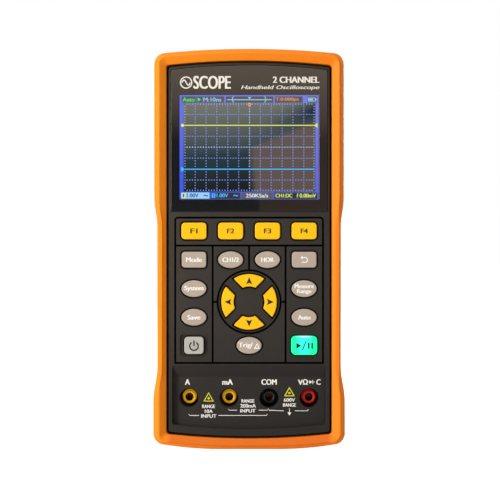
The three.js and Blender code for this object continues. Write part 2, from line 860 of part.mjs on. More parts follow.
function shieldCan() {
  const low = [can.x - can.width / 2, boardBackY + gap, can.z - can.height / 2];
  const high = [can.x + can.width / 2, boardBackY + gap + can.depth, can.z + can.height / 2];
  const inner = block(
    [low[0] + can.wall, low[1] - overcut, low[2] + can.wall],
    [high[0] - can.wall, high[1] - can.wall, high[2] - can.wall],
  );
  return cut(block(low, high), inner);
}

function buzzerBody() {
  const fromY = boardBackY + gap;
  const toY = fromY + buzzer.depth;
  return cut(
    rod(buzzer.x, buzzer.z, buzzer.radius, fromY, toY, barrelSides),
    rod(buzzer.x, buzzer.z, buzzer.hole, toY - buzzer.depth / 2, toY + overcut, smallSides),
  );
}

const fuseY = (size) => boardBackY + 2 * gap + holderPlate + size.radius;

// A cartridge fuse lying across the width, with a metal cap on each end.
function fuse(size) {
  const y = fuseY(size);
  const low = size.x - size.length / 2;
  const high = size.x + size.length / 2;
  return join(
    crossRod(y, fuseHeight, size.radius - fuseWaist, low, high),
    crossRod(y, fuseHeight, size.radius, low, low + fuseCap),
    crossRod(y, fuseHeight, size.radius, high - fuseCap, high),
  );
}

// A strip under the fuse with a plate standing at each end of it.
function fuseHolder(size) {
  const inner = size.length / 2 + gap;
  const outer = inner + holderPlate;
  const baseY = boardBackY + gap;
  const plateY = fuseY(size) + size.radius / 2;
  const foot = fuseHeight - size.radius;
  const head = fuseHeight + size.radius;
  const bar = block([size.x - outer, baseY, foot], [size.x + outer, plateY, head]);
  const room = block(
    [size.x - inner, baseY + holderPlate, foot - overcut],
    [size.x + inner, plateY + overcut, head + overcut],
  );
  return cut(bar, room);
}

function batteryHolder() {
  const backEdge = doorInnerY - gap;
  const half = holderHalf - endWall;
  return cut(
    block([-holderHalf, holderFrontY, holderBottom], [holderHalf, backEdge, holderTop]),
    block(
      [-half, holderFrontY + holderWall, holderBottom + endWall],
      [half, backEdge + overcut, holderTop - endWall],
    ),
  );
}

// A cell standing along the length with its raised terminal at the top.
function cell() {
  const radius = cellDiameter / 2;
  const shoulderZ = cellLength - terminalHeight;
  const profile = [
    [0, 0],
    [radius, 0],
    [radius, shoulderZ],
    [terminalRadius, shoulderZ],
    [terminalRadius, cellLength],
    [0, cellLength],
  ];
  return toSolid(turned(profile, barrelSides).rotateX(Math.PI / 2));
}

function kickstand() {
  const outline = tabShape(standHalf, standBottom, hingeZ, standCorner);
  const plate = prism(outline, standFrontY, standBackY);
  const barrel = crossRod(hingeY, hingeZ, barrelRadius, -standHalf, standHalf, barrelSides);
  const end = standHalf + overcut;
  const bore = crossRod(hingeY, hingeZ, pinRadius + pinClearance, -end, end, pinSides);
  return cut(join(plate, barrel), bore);
}

function kickstandPin() {
  const reach = standHalf + standSide + pinSocket - gap;
  return crossRod(hingeY, hingeZ, pinRadius, -reach, reach, pinSides);
}

// An insulating sleeve around a socket, with the flange that seats it behind its well.
function jackSleeve(x) {
  const flangeEndY = jackFlangeY + jackFlangeThickness;
  const wide = sleeveRadius - sleeveWall;
  const geometry = turned([
    [sleeveRadius, sleeveY],
    [sleeveRadius, jackFlangeY],
    [jackFlangeRadius, jackFlangeY],
    [jackFlangeRadius, flangeEndY],
    [wellRadius, flangeEndY],
    [wellRadius, jackEndY],
    [wide, jackEndY],
    [wide, sleeveY + sleeveMouth],
    [sleeveBore, sleeveY + sleeveMouth],
    [sleeveBore, sleeveY],
  ]);
  return toSolid(geometry.translate(x, 0, jackHeight));
}

// A socket contact: a sleeve that takes the plug, closed at the back, with a solder tail.
function jackContact(x) {
  const outer = sleeveRadius - sleeveWall - contactClearance;
  const inner = outer - contactWall;
  const mouthY = sleeveY + sleeveMouth + gap;
  const endY = jackEndY - gap;
  const geometry = turned([
    [0, endY - contactFloor],
    [inner, endY - contactFloor],
    [inner, mouthY],
    [outer, mouthY],
    [outer, endY],
    [contactTailRadius, endY],
    [contactTailRadius, endY + contactTail],
    [0, endY + contactTail],
  ]);
  return toSolid(geometry.translate(x, 0, jackHeight));
}

function meterBoard() {
  const low = [-meterBoardHalf, meterBoardY, meterBoardBottom];
  const high = [meterBoardHalf, meterBoardY + boardThickness, meterBoardTop];
  const radius = contactTailRadius + gap;
  const holes = jackXs.map((x) =>
    rod(x, jackHeight, radius, meterBoardY - overcut, meterBoardY + boardThickness + overcut, smallSides),
  );
  return cut(block(low, high), ...holes);
}

// A bayonet socket standing on the bay floor, its tail through the floor.
function bncBody(x) {
  const seat = bayBase + gap;
  const top = bayBase + bnc.height;
  const geometry = turned([
    [0, bayBase - bnc.tailLength],
    [bnc.tail, bayBase - bnc.tailLength],
    [bnc.tail, seat],
    [bnc.nut, seat],
    [bnc.nut, seat + bnc.nutHeight],
    [bnc.body, seat + bnc.nutHeight],
    [bnc.body, top],
    [0, top],
  ], barrelSides);
  const body = toSolid(geometry.rotateX(Math.PI / 2).translate(x, bncY, 0));
  const reach = bncLug.reach;
  const lugs = crossRod(bncY, bayBase + bncLug.height, bncLug.radius, x - reach, x + reach, smallSides);
  const bore = new THREE.Shape();
  bore.absarc(x, bncY, bnc.bore, 0, 2 * Math.PI);
  return cut(join(body, lugs), column(bore, top - bnc.boreDepth, top + overcut, boreSegments));
}

// The white insulator in a bayonet socket, with the hole of its centre contact.
function bncInsulator(x) {
  const foot = bayBase + bnc.height - bnc.boreDepth + gap;
  const rim = foot + bncCore.foot;
  const geometry = turned([
    [0, foot],
    [bnc.bore - gap, foot],
    [bnc.bore - gap, rim],
    [bncCore.sleeve, rim],
    [bncCore.sleeve, rim + bncCore.height],
    [bncCore.bore, rim + bncCore.height],
    [bncCore.bore, rim],
    [0, rim],
  ]);
  return toSolid(geometry.rotateX(Math.PI / 2).translate(x, bncY, 0));
}

function usbSocket() {
  const foot = bayBase + usb.rise - usb.length;
  const top = bayBase + usb.rise;
  const room = column(usbShape(-usb.wall), foot + usb.floor, top + overcut);
  const shell = cut(column(usbShape(0), foot, top), room);
  const tongue = block(
    [-usb.tongueWidth / 2, bncY - usb.tongue / 2, foot + usb.floor / 2],
    [usb.tongueWidth / 2, bncY + usb.tongue / 2, top - usb.floor],
  );
  return join(shell, tongue);
}

const part = new THREE.Group();

function add(name, solid, finish) {
  const mesh = new THREE.Mesh(toGeometry(solid), new THREE.MeshStandardMaterial(finish));
  mesh.name = name;
  part.add(mesh);
}

const keys = keyList();
add("boot", boot(), orangeRubber);
add("front_cover", frontCover(keys), caseBlack);
add("rear_cover", rearCover(), caseBlack);
add("case_gasket", gasket(), matRubber);
add("display_lens", prism(lensShape(0), faceY, faceY + lensThickness, outlineSegments), lensBlack);
add("lcd_panel", lcdPanel(), screenGlass);
add("lcd_tray", lcdTray(), tinPlate);
add("lcd_flex", lcdFlex(), flexAmber);
keys.forEach(({ name, outline, finish }) => add(name, key(outline), finish));
add("key_mat", keyMat(keys), matRubber);
add("main_board", mainBoard(), boardGreen);
add("shield_can", shieldCan(), tinPlate);
add("buzzer", buzzerBody(), blackPlastic);
add("fuse_large", fuse(largeFuse), ceramic);
add("fuse_small", fuse(smallFuse), ceramic);
add("fuse_holder_large", fuseHolder(largeFuse), tinPlate);
add("fuse_holder_small", fuseHolder(smallFuse), tinPlate);

const jackNames = ["amps", "milliamps", "common", "volts"];
const jackFinishes = [yellowPlastic, yellowPlastic, blackPlastic, redPlastic];
jackXs.forEach((x, index) => {
  add(`jack_sleeve_${jackNames[index]}`, jackSleeve(x), jackFinishes[index]);
  add(`jack_contact_${jackNames[index]}`, jackContact(x), brass);
});
add("meter_board", meterBoard(), boardGreen);

add("bnc_one", bncBody(-bncX), nickel);
add("bnc_two", bncBody(bncX), nickel);
add("bnc_insulator_one", bncInsulator(-bncX), fluoroplastic);
add("bnc_insulator_two", bncInsulator(bncX), fluoroplastic);
add("usb_socket", usbSocket(), nickel);

const cellSolid = cell();
add("battery_cell_one", cellSolid.translate([-cellX, cellY, cellBottom]), cellWrap);
add("battery_cell_two", cellSolid.translate([cellX, cellY, cellBottom]), cellWrap);
add("battery_holder", batteryHolder(), blackPlastic);
add("battery_cover", batteryCover(), caseBlack);
add("battery_cover_screw", screw(0, doorScrewZ, doorScrew, floorY - doorScrew.headDepth), steel);
screwSpots.forEach(([x, z], index) => {
  add(`case_screw_${index + 1}`, screw(x, z, caseScrew, backFaceY - screwSeat + gap), steel);
});
add("kickstand", kickstand(), caseBlack);
add("kickstand_pin", kickstandPin(), steel);

export default part;
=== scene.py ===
import math

import bpy
from mathutils import Matrix, Vector


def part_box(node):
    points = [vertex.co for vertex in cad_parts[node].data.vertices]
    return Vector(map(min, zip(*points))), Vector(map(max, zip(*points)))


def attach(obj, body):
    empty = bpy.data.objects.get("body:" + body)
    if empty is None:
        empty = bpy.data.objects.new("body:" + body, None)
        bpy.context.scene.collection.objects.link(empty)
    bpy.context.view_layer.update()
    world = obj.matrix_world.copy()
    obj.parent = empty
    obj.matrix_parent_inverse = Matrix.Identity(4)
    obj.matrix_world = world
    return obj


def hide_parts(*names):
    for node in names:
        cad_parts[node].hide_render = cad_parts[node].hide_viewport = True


# A handheld oscilloscope standing on its foot: the display faces -Y and the length runs up +Z.
# Outlines are drawn in millimetres in x and z and become metres when a piece is made.

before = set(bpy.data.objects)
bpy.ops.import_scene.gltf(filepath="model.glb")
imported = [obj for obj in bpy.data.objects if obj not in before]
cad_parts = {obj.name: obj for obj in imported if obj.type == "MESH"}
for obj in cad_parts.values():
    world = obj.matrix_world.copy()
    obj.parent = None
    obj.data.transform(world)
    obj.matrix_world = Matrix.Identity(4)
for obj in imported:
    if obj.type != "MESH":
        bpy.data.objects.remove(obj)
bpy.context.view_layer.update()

MM = 0.001
CASE = "case"


def corners(node):
    """A frame node's lowest and highest corner, in millimetres."""
    low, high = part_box(node)
    return low / MM, high / MM


def middle(node):
    low, high = corners(node)
    return (low + high) / 2


def extent(node):
    low, high = corners(node)
    return high - low


# ---------------------------------------------------------------- shader maths


class Value:
    """A shader socket that adds, multiplies and divides like a number."""

    def __init__(self, finish, socket):
        self.finish = finish
        self.socket = socket

    def _math(self, operation, first, second=None):
        inputs = {0: first} if second is None else {0: first, 1: second}
        return self.finish.node("ShaderNodeMath", {"operation": operation}, inputs)

    def __add__(self, other):
        return self._math("ADD", self, other)

    def __sub__(self, other):
        return self._math("SUBTRACT", self, other)

    def __rsub__(self, other):
        return self._math("SUBTRACT", other, self)

    def __mul__(self, other):
        return self._math("MULTIPLY", self, other)

    def __truediv__(self, other):
        return self._math("DIVIDE", self, other)

    __radd__ = __add__
    __rmul__ = __mul__

    def power(self, other):
        return self._math("POWER", self, other)

    def absolute(self):
        return self._math("ABSOLUTE", self)

    def wave(self):
        return self._math("SINE", self)


def srgb(red, green, blue):
    """A display colour, 0 to 255, as the linear colour that shaders take."""
    def linear(channel):
        share = channel / 255
        return share / 12.92 if share <= 0.04045 else ((share + 0.055) / 1.055) ** 2.4
    return (linear(red), linear(green), linear(blue), 1.0)


class Finish:
    """A procedural material: a Principled shader and the nodes that feed it."""

    def __init__(self, name, color, roughness, metallic=0.0, slot=None, **fixed):
        self.slot = slot or name
        self.color = color
        self.material = bpy.data.materials.new(name)
        self.material.use_nodes = True
        self.tree = self.material.node_tree
        self.shader = self.tree.nodes["Principled BSDF"]
        self.shader.inputs["Base Color"].default_value = color
        self.shader.inputs["Roughness"].default_value = roughness
        self.shader.inputs["Metallic"].default_value = metallic
        for socket, value in fixed.items():
            self.shader.inputs[socket.replace("_", " ")].default_value = value

    def node(self, kind, settings=None, inputs=None, output=0):
        made = self.tree.nodes.new(kind)
        for key, value in (settings or {}).items():
            setattr(made, key, value)
        for key, value in (inputs or {}).items():
            self.feed(made.inputs[key], value)
        return Value(self, made.outputs[output])

    def feed(self, socket, value):
        if isinstance(value, Value):
            self.tree.links.new(value.socket, socket)
        else:
            socket.default_value = value

    def set(self, socket, value):
        self.feed(self.shader.inputs[socket], value)
        return self

    def place(self):
        return self.node("ShaderNodeTexCoord", output="Object")

    def axes(self):
        """The place along x, y and z, in millimetres."""
        split = self.tree.nodes.new("ShaderNodeSeparateXYZ")
        self.feed(split.inputs[0], self.place())
        return [Value(self, out) * (1 / MM) for out in split.outputs]

    def noise(self, size, detail=2.0, roughness=0.5):
        """Soft noise from 0 to 1 whose features measure about size millimetres."""
        scale = 1 / (size * MM)
        inputs = {"Vector": self.place(), "Scale": scale, "Detail": detail, "Roughness": roughness}
        return self.node("ShaderNodeTexNoise", {}, inputs, output="Fac")

    def ramp(self, value, low, high):
        inputs = {"Value": value, "From Min": low, "From Max": high}
        return self.node("ShaderNodeMapRange", {"clamp": True}, inputs, output="Result")

    def mix(self, share, first, second):
        """One colour going over to another."""
        made = self.tree.nodes.new("ShaderNodeMix")
        made.data_type = "RGBA"
        self.feed(made.inputs["Factor"], share)
        self.feed(made.inputs[6], first)
        self.feed(made.inputs[7], second)
        return Value(self, made.outputs[2])

    def bump(self, height, distance, strength=1.0):
        inputs = {"Height": height, "Distance": distance * MM, "Strength": strength}
        return self.set("Normal", self.node("ShaderNodeBump", {}, inputs))


def shade(color, factor):
    return tuple(channel * factor for channel in color[:3]) + (1.0,)


# ---------------------------------------------------------------- finishes


def orange_rubber():
    color = srgb(255, 142, 20)
    made = Finish("orange_rubber", color, 0.6, slot="boot_rubber", Specular_IOR_Level=0.22)
    cloud = made.noise(18, 3)
    grain = made.noise(0.35, 2)
    across, _, height = made.axes()
    plain_tone = made.mix(cloud * 0.5 + grain * 0.12, shade(color, 1.04), shade(color, 0.86))
    # Painted shade: the boot turns darker and deeper orange towards its right, away from the lamp.
    shaded_right = made.mix(made.ramp(across, -30.0, 44.0) * 0.5, plain_tone, srgb(240, 118, 0))
    # Painted shade: a darker band on the lower inner facet of the opening, following the arch of its lower
    # edge and fading out near the sides.
    rise = height - (across / OPEN_HALF).power(2.0) * ARCH
    facet_shade_share = made.ramp(rise, 1.0, 1.8) * made.ramp(rise, 6.2, 5.6)
    facet_shade_share = facet_shade_share * made.ramp(across.absolute(), 41.5, 38.5) * 0.66
    made.set("Base Color", made.mix(facet_shade_share, shaded_right, srgb(206, 88, 8)))
    made.set("Roughness", 0.54 + cloud * 0.12)
    return made.bump(grain, 0.035, 0.5)


def case_black(name="case_black", color=srgb(52, 45, 38), slot="case_plastic", fall=0.0):
    """Spark-eroded plastic with painted shade: darker towards its lower end and, by fall, away from its lit
    side.
    """
    made = Finish(name, color, 0.62, slot=slot, Specular_IOR_Level=0.35)
    grain = made.noise(0.42, 3, 0.65)
    cloud = made.noise(9, 2)
    across, _, height = made.axes()
    # Painted shade: a lit copy above and a shaded copy below, blended from a height of 70 mm down to 25 mm.
    lower_shade = made.ramp(height, 70.0, 25.0)
    # Painted shade: darker from the lit left side across to the right, by the share given in fall.
    away = made.ramp(across, -44.0, -16.0) * 0.66 + made.ramp(across, -16.0, 44.0) * 0.34
    upper = made.mix(grain, shade(color, 0.72), shade(color, 1.32))
    lower = made.mix(grain, shade(color, 0.36), shade(color, 0.68))
    made.set("Base Color", made.mix(away * fall, made.mix(lower_shade, upper, lower), srgb(8, 7, 6)))
    made.set("Roughness", 0.54 + cloud * 0.1 + grain * 0.08)
    return made.bump(grain, 0.09, 0.9)


def key_plastic(name, color, slot):
    made = Finish(name, color, 0.42, slot=slot, Specular_IOR_Level=0.3)
    grain = made.noise(0.3, 2)
    cloud = made.noise(5, 2)
    made.set("Base Color", made.mix(cloud * 0.6 + grain * 0.2, shade(color, 1.05), shade(color, 0.9)))
    made.set("Roughness", 0.38 + grain * 0.1)
    return made.bump(grain, 0.02, 0.4)


def lit_green(key):
    """A translucent key lit from behind: brightest at the middle of its upper edge."""
    made = Finish("lit_green", srgb(0, 225, 140), 0.35, slot="key_green")
    across, _, height = made.axes()
    centre = middle(key)
    size = extent(key)
    side = ((across - centre.x) / (size.x * 0.3)).power(2.0)
    rise = (height - (centre.z + size.z * 0.12)) / (size.z * 0.75)
    spot = made.ramp(side + rise.power(2.0), 1.0, 0.0)
    rim = made.ramp(height, centre.z + size.z * 0.33, centre.z + size.z * 0.42)
    glow = made.mix(spot, srgb(0, 232, 140), srgb(60, 255, 240))
    made.set("Emission Color", made.mix(rim * spot, glow, srgb(235, 255, 250)))
    made.shader.inputs["Emission Strength"].default_value = 0.85
    made.set("Roughness", 0.3 + made.noise(0.4, 2) * 0.1)
    return made


def lens_black():
    """The polished lens, with a painted reflection: warm and lighter towards its upper edge."""
    made = Finish("lens_black", srgb(30, 27, 23), 0.2, slot="lens", Coat_Weight=0.35)
    across, _, height = made.axes()
    low, high = corners("display_lens")
    # Painted reflection: paler and warmer towards the top, and near black left of a line a little right of
    # the middle.
    rise = made.ramp(height + made.noise(30, 1) * 14, low.z + 40, high.z + 6)
    side = made.ramp(across, 4.4, 5.8)
    made.set("Base Color", made.mix(rise, made.mix(side, srgb(6, 8, 7), srgb(38, 29, 23)), srgb(78, 71, 62)))
    made.set("Roughness", 0.16 + made.noise(4, 2) * 0.05)
    return made


def screen_glass():
    """The display's dark field, with the soft sheen of the room across it."""
    made = Finish("screen_glass", srgb(8, 9, 10), 0.25, slot="screen", Specular_IOR_Level=0.2)
    across, _, height = made.axes()
    centre = middle("lcd_panel")
    half = extent("lcd_panel") / 2
    x = (across - centre.x) / half.x
    z = (height - centre.z) / half.z
    # The emission is a painted reflection of the room: paler at the top, dark at the lower left, brownish on
    # the right, crossed by a darker streak.
    upper = made.ramp(z + x * -0.1, -0.1, 0.8)
    left = made.mix(upper, srgb(42, 62, 72), srgb(122, 124, 116))
    deep = made.ramp(z - x * 0.15, 0.0, -0.75)
    left = made.mix(deep, left, srgb(16, 19, 22))
    right = made.mix(made.ramp(z, -0.9, 0.6), srgb(98, 85, 80), srgb(104, 92, 86))
    notch = made.ramp(x + 0.02 - (z + 0.1).absolute() * 0.06, 0.0, 0.09)
    brown = notch * made.ramp(z - x * 0.5, 0.04, -0.04)
    streak = made.ramp((z - 0.2 - x * 0.5).absolute(), 0.34, 0.04) * made.ramp(x, 0.15, 0.85)
    glow = made.mix(streak, left, srgb(34, 50, 62))
    made.set("Emission Color", made.mix(brown, glow, right))
    made.shader.inputs["Emission Strength"].default_value = 0.85
    made.set("Roughness", 0.2 + made.noise(2, 1) * 0.05)
    return made


def screen_ink(name, color, strength=1.0):
    """A lit part of the display's picture."""
    made = Finish(name, shade(color, 0.12), 0.4, slot="screen")
    cells = made.noise(0.25, 1)
    made.set("Emission Color", made.mix(cells, shade(color, 0.9), shade(color, 1.1)))
    made.shader.inputs["Emission Strength"].default_value = strength
    return made


def screen_border():
    """The blue surround of the display's picture, deeper towards the lower left; the paling towards the
    upper right is a painted reflection.
    """
    made = Finish("screen_border", srgb(20, 22, 60), 0.4, slot="screen")
    across, _, height = made.axes()
    low, high = corners("lcd_panel")
    # The blue is the display's own light; its paling towards the upper right is a painted reflection.
    fall = made.ramp(height + across * 0.35, low.z, high.z)
    made.set("Emission Color", made.mix(fall, srgb(48, 80, 232), srgb(122, 124, 226)))
    made.shader.inputs["Emission Strength"].default_value = 0.92
    return made


def print_and_shade_ink(name, color, sheen=0.5):
    """Screen-printed ink, a little thin in places; also the flat black of the painted shade in the grooves.
    """
    made = Finish(name, color, 0.55, slot="case_plastic", Specular_IOR_Level=sheen)
    grain = made.noise(0.25, 2)
    made.set("Base Color", made.mix(grain, shade(color, 0.8), color))
    return made


def moulded(name, color, roughness, slot, glow=0.0):
    """Glossy moulded plastic; a glow above nought adds painted light, an emission in the plastic's own
    colour.
    """
    made = Finish(name, color, roughness, slot=slot)
    cloud = made.noise(2, 2)
    made.set("Base Color", made.mix(cloud, shade(color, 0.88), color))
    made.set("Emission Color", made.mix(cloud, shade(color, 0.9), color))
    made.shader.inputs["Emission Strength"].default_value = glow
    made.set("Roughness", roughness + cloud * 0.1)
    return made.bump(made.noise(0.25, 2), 0.012, 0.4)


def metal(name, color, roughness, slot):
    """Plated or machined metal with fine tool marks."""
    made = Finish(name, color, roughness, 1.0, slot=slot)
    _, along, height = made.axes()
    marks = ((along + height) * 24.0).wave()
    cloud = made.noise(1.5, 3)
    made.set("Base Color", made.mix(cloud, shade(color, 0.78), color))
    made.set("Roughness", roughness + cloud * 0.14)
    return made.bump(marks * 0.5 + cloud, 0.008, 0.5)


def circuit_board():
    made = Finish("circuit_board", srgb(28, 84, 48), 0.4, slot="circuit_board")
    across, _, height = made.axes()
    tracks = (across * 2.4).wave() * (height * 1.9).wave()
    copper = made.ramp(tracks + made.noise(3, 2), 0.7, 0.85)
    made.set("Base Color", made.mix(copper, srgb(24, 78, 44), srgb(56, 122, 66)))
    made.set("Roughness", 0.35 + copper * 0.15)
    return made.bump(copper, 0.03, 0.6)


def fuse_body():
    """A pale ceramic barrel between two metal caps."""
    made = Finish("fuse_body", srgb(232, 228, 216), 0.4, slot="ceramic")
    across, _, _ = made.axes()
    cap, soft = 6, 0.05
    caps = []
    for node in ("fuse_large", "fuse_small"):
        barrel = extent(node).x / 2 - cap
        caps.append(made.ramp((across - middle(node).x).absolute(), barrel, barrel + soft))
    between = (corners("fuse_large")[1].x + corners("fuse_small")[0].x) / 2
    right = made.ramp(across, between, between + 2 * soft)
    metal_share = caps[0] * (1 - right) + caps[1] * right
    made.set("Base Color", made.mix(metal_share, srgb(232, 228, 216), srgb(196, 196, 192)))
    made.set("Metallic", metal_share)
    made.set("Roughness", 0.42 - metal_share * 0.15)
    return made


def cell_sleeve():
    made = Finish("cell_sleeve", srgb(38, 104, 176), 0.35, slot="cell_wrap")
    _, _, height = made.axes()
    _, high = corners("battery_cell_one")
    tip = made.ramp(height, high.z - 0.9, high.z - 0.8)
    band = made.ramp((height - (high.z - 6)).absolute(), 1.2, 1.1)
    wrap = made.mix(band, srgb(38, 104, 176), srgb(226, 228, 230))
    made.set("Base Color", made.mix(tip, wrap, srgb(190, 190, 188)))
    made.set("Metallic", tip)
    made.set("Roughness", 0.3 + made.noise(3, 2) * 0.15)
    return made


# ---------------------------------------------------------------- outlines, in millimetres


def arc(x, z, radius, start, end, steps, tall=None):
    """Points on an arc; angles in radians from +x towards +z."""
    turns = [start + (end - start) * step / steps for step in range(steps + 1)]
    tall = radius if tall is None else tall
    return [(x + radius * math.cos(turn), z + tall * math.sin(turn)) for turn in turns]


def oval(x, z, width, height, steps=56):
    return arc(x, z, width / 2, 0, math.tau, steps, height / 2)[:-1]


def soften(points, radius, steps=5, turn=0.35):
    """An outline with each sharp corner rounded off."""
    made = []
    count = len(points)
    for index, here in enumerate(points):
        before = Vector(points[index - 1])
        after = Vector(points[(index + 1) % count])
        at = Vector(here)
        back, on = before - at, after - at
        if abs(math.pi - back.angle(on)) < turn:
            made.append(tuple(at))
            continue
        start = at + back.normalized() * min(radius, back.length * 0.45)
        end = at + on.normalized() * min(radius, on.length * 0.45)
        for step in range(steps + 1):
            share = step / steps
            point = start * (1 - share) ** 2 + at * 2 * share * (1 - share) + end * share ** 2
            made.append(tuple(point))
    return made


def rectangle(x, z, width, height, radius=0.0):
    right, top = width / 2, height / 2
    sides = [(-right, -top), (right, -top), (right, top), (-right, top)]
    points = soften(sides, radius, turn=0.6) if radius else sides
    return [(x + px, z + pz) for px, pz in points]


def crowned(half, low, high, crown, radius=1.0, steps=28):
    """The case outline: straight sides, arched ends that run back by the crown."""
    def arch(start, end, apex):
        made = []
        for step in range(steps + 1):
            x = start + (end - start) * step / steps
            made.append((x, apex - math.copysign(crown, apex - (low + high) / 2) * (x / half) ** 2))
        return made
    return soften(arch(-half, half, low) + arch(half, -half, high), radius, 4, 0.8)


# ---------------------------------------------------------------- making and finishing pieces


def select(*objects):
    bpy.ops.object.select_all(action="DESELECT")
    for item in objects:
        item.select_set(True)
    bpy.context.view_layer.objects.active = objects[0]


def apply_modifiers(item):
    select(item)
    for modifier in list(item.modifiers):
        bpy.ops.object.modifier_apply(modifier=modifier.name)


def clean(item, normals=True):
    """Merges doubles and turns the faces outwards."""
    select(item)
    bpy.ops.object.mode_set(mode="EDIT")
    bpy.ops.mesh.select_all(action="SELECT")
    bpy.ops.mesh.remove_doubles(threshold=1e-6)
    if normals:
        bpy.ops.mesh.normals_make_consistent(inside=False)
    bpy.ops.object.mode_set(mode="OBJECT")


def settle(item):
    select(item)
    bpy.ops.object.transform_apply(location=True, rotation=True, scale=True)


def flat_piece(name, outlines, front, back, edge=0.0, rings=3):
    """A piece cut from a closed outline, with its holes, between two depths; its edges rounded."""
    curve = bpy.data.curves.new(name, "CURVE")
    curve.dimensions = "2D"
    curve.fill_mode = "BOTH"
    for outline in outlines:
        spline = curve.splines.new("POLY")
        spline.points.add(len(outline) - 1)
        for point, (x, z) in zip(spline.points, outline):
            point.co = (x * MM, z * MM, 0, 1)
        spline.use_cyclic_u = True
    curve.extrude = ((back - front) / 2 - edge) * MM
    curve.bevel_depth = edge * MM
    curve.bevel_resolution = rings
    curve.offset = -edge * MM
    item = bpy.data.objects.new(name, curve)
    bpy.context.scene.collection.objects.link(item)
    select(item)
    bpy.ops.object.convert(target="MESH")
    item = bpy.context.view_layer.objects.active
    item.name = name
    item.rotation_euler = (math.pi / 2, 0, 0)
    item.location = (0, (front + back) / 2 * MM, 0)
    settle(item)
    clean(item)
    return item


def round_edges(item, width):
    """Rounds the sharp edges of a piece."""
    modifier = item.modifiers.new("edges", "BEVEL")
    modifier.width = width * MM
    modifier.segments = 2
    modifier.limit_method = "ANGLE"
    modifier.angle_limit = math.radians(40)
    modifier.use_clamp_overlap = True
    apply_modifiers(item)


def cut_away(item, *tools):
    for tool in tools:
        modifier = item.modifiers.new("cut", "BOOLEAN")
        modifier.operation = "DIFFERENCE"
        modifier.solver = "EXACT"
        modifier.object = tool
        apply_modifiers(item)
        bpy.data.objects.remove(tool)


def merge(name, *items):
    """Several meshes as one object."""
    select(*items)
    if len(items) > 1:
        bpy.ops.object.join()
    made = bpy.context.view_layer.objects.active
    made.name = name
    return made


def turned(name, profile, x, z, steps=64, axis="Y"):
    """A piece turned from a profile of (radius, distance along the axis) pairs."""
    mesh = bpy.data.meshes.new(name)
    points = [(radius * MM, along * MM, 0) for radius, along in profile]
    count = len(points)
    edges = [(index, (index + 1) % count) for index in range(count)]
    if profile[0][0] == 0 and profile[-1][0] == 0:
        edges.pop()
    mesh.from_pydata(points, edges, [])
    item = bpy.data.objects.new(name, mesh)
    bpy.context.scene.collection.objects.link(item)
    spin = item.modifiers.new("spin", "SCREW")
    spin.axis = "Y"
    spin.steps = steps
    spin.render_steps = steps
    spin.use_merge_vertices = True
    spin.merge_threshold = 1e-6
    apply_modifiers(item)
    if axis == "Z":
        item.rotation_euler = (math.pi / 2, 0, 0)
    item.location = (x * MM, 0, z * MM)
    settle(item)
    clean(item)
    return item


def box_piece(name, low, high):
    """A block between two corners, in millimetres."""
    centre = [(a + b) / 2 * MM for a, b in zip(low, high)]
    size = [(b - a) * MM for a, b in zip(low, high)]
    bpy.ops.object.select_all(action="DESELECT")
    bpy.ops.mesh.primitive_cube_add(size=1, location=centre)
    item = bpy.context.view_layer.objects.active
    item.name = name
    item.scale = size
    settle(item)
    return item


def finish(item, paint, body=CASE, replaces=(), angle=35):
    """Gives a piece its material and its body, and hides the CAD parts it stands in for."""
    item.data.materials.clear()
    item.data.materials.append(paint.material)
    select(item)
    bpy.ops.object.shade_smooth_by_angle(angle=math.radians(angle))
    flatten = item.modifiers.new("normals", "WEIGHTED_NORMAL")
    flatten.keep_sharp = True
    apply_modifiers(item)
    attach(item, body)
    if replaces:
        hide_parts(*replaces)


def label(text, x, z, width, height, front, weight=0.0, slant=0.0, thickness=0.05):
    """Words fitted to a box round a place on the front, each stroke made wider by the weight."""
    curve = bpy.data.curves.new("words", "FONT")
    curve.body = text
    curve.size = 0.01
    curve.shear = slant
    curve.resolution_u = 4
    curve.extrude = thickness / 2 * MM
    item = bpy.data.objects.new("words", curve)
    bpy.context.scene.collection.objects.link(item)
    select(item)
    bpy.ops.object.convert(target="MESH")
    item = bpy.context.view_layer.objects.active
    points = [vertex.co for vertex in item.data.vertices]
    low = Vector(map(min, zip(*points)))
    high = Vector(map(max, zip(*points)))
    size = high - low
    centre = (low + high) / 2
    move = Matrix.Translation((x * MM, (front - thickness / 2) * MM, z * MM))
    turn = Matrix.Rotation(math.pi / 2, 4, "X")
    fit = Matrix.Diagonal(((width - weight) * MM / size.x, height * MM / size.y, 1, 1))
    item.data.transform(move @ turn @ fit @ Matrix.Translation(-centre))
    clean(item, normals=False)
    if weight:
        double = item.modifiers.new("bold", "ARRAY")
        double.count = 3
        double.use_relative_offset = False
        double.use_constant_offset = True
        double.constant_offset_displace = (weight / 2 * MM, -0.002 * MM, 0)
        apply_modifiers(item)
        item.data.transform(Matrix.Translation((-weight / 2 * MM, 0, 0)))
    return item


def mark(outlines, front, thickness=0.05):
    """A printed shape on the front."""
    return flat_piece("mark", outlines, front - thickness, front)


def band(points, width):
    """An outline round a run of points, half the width to each side."""
    lefts, rights = [], []
    for index, point in enumerate(points):
        here = Vector(point)
        before = Vector(points[max(index - 1, 0)])
        after = Vector(points[min(index + 1, len(points) - 1)])
        along = (after - before).normalized()
        side = Vector((-along.y, along.x)) * width / 2
        lefts.append(tuple(here + side))
        rights.append(tuple(here - side))
    return lefts + rights[::-1]


def stroke(points, front, width):
    """A printed line through the given points."""
    return mark([band(points, width)], front)


def repeat(item, count, step_x, step_z):
    """Copies of a piece in a row, as one mesh."""
    modifier = item.modifiers.new("row", "ARRAY")
    modifier.count = count
    modifier.use_relative_offset = False
    modifier.use_constant_offset = True
    modifier.constant_offset_displace = (step_x * MM, 0, step_z * MM)
    apply_modifiers(item)


# ---------------------------------------------------------------- stations, in millimetres

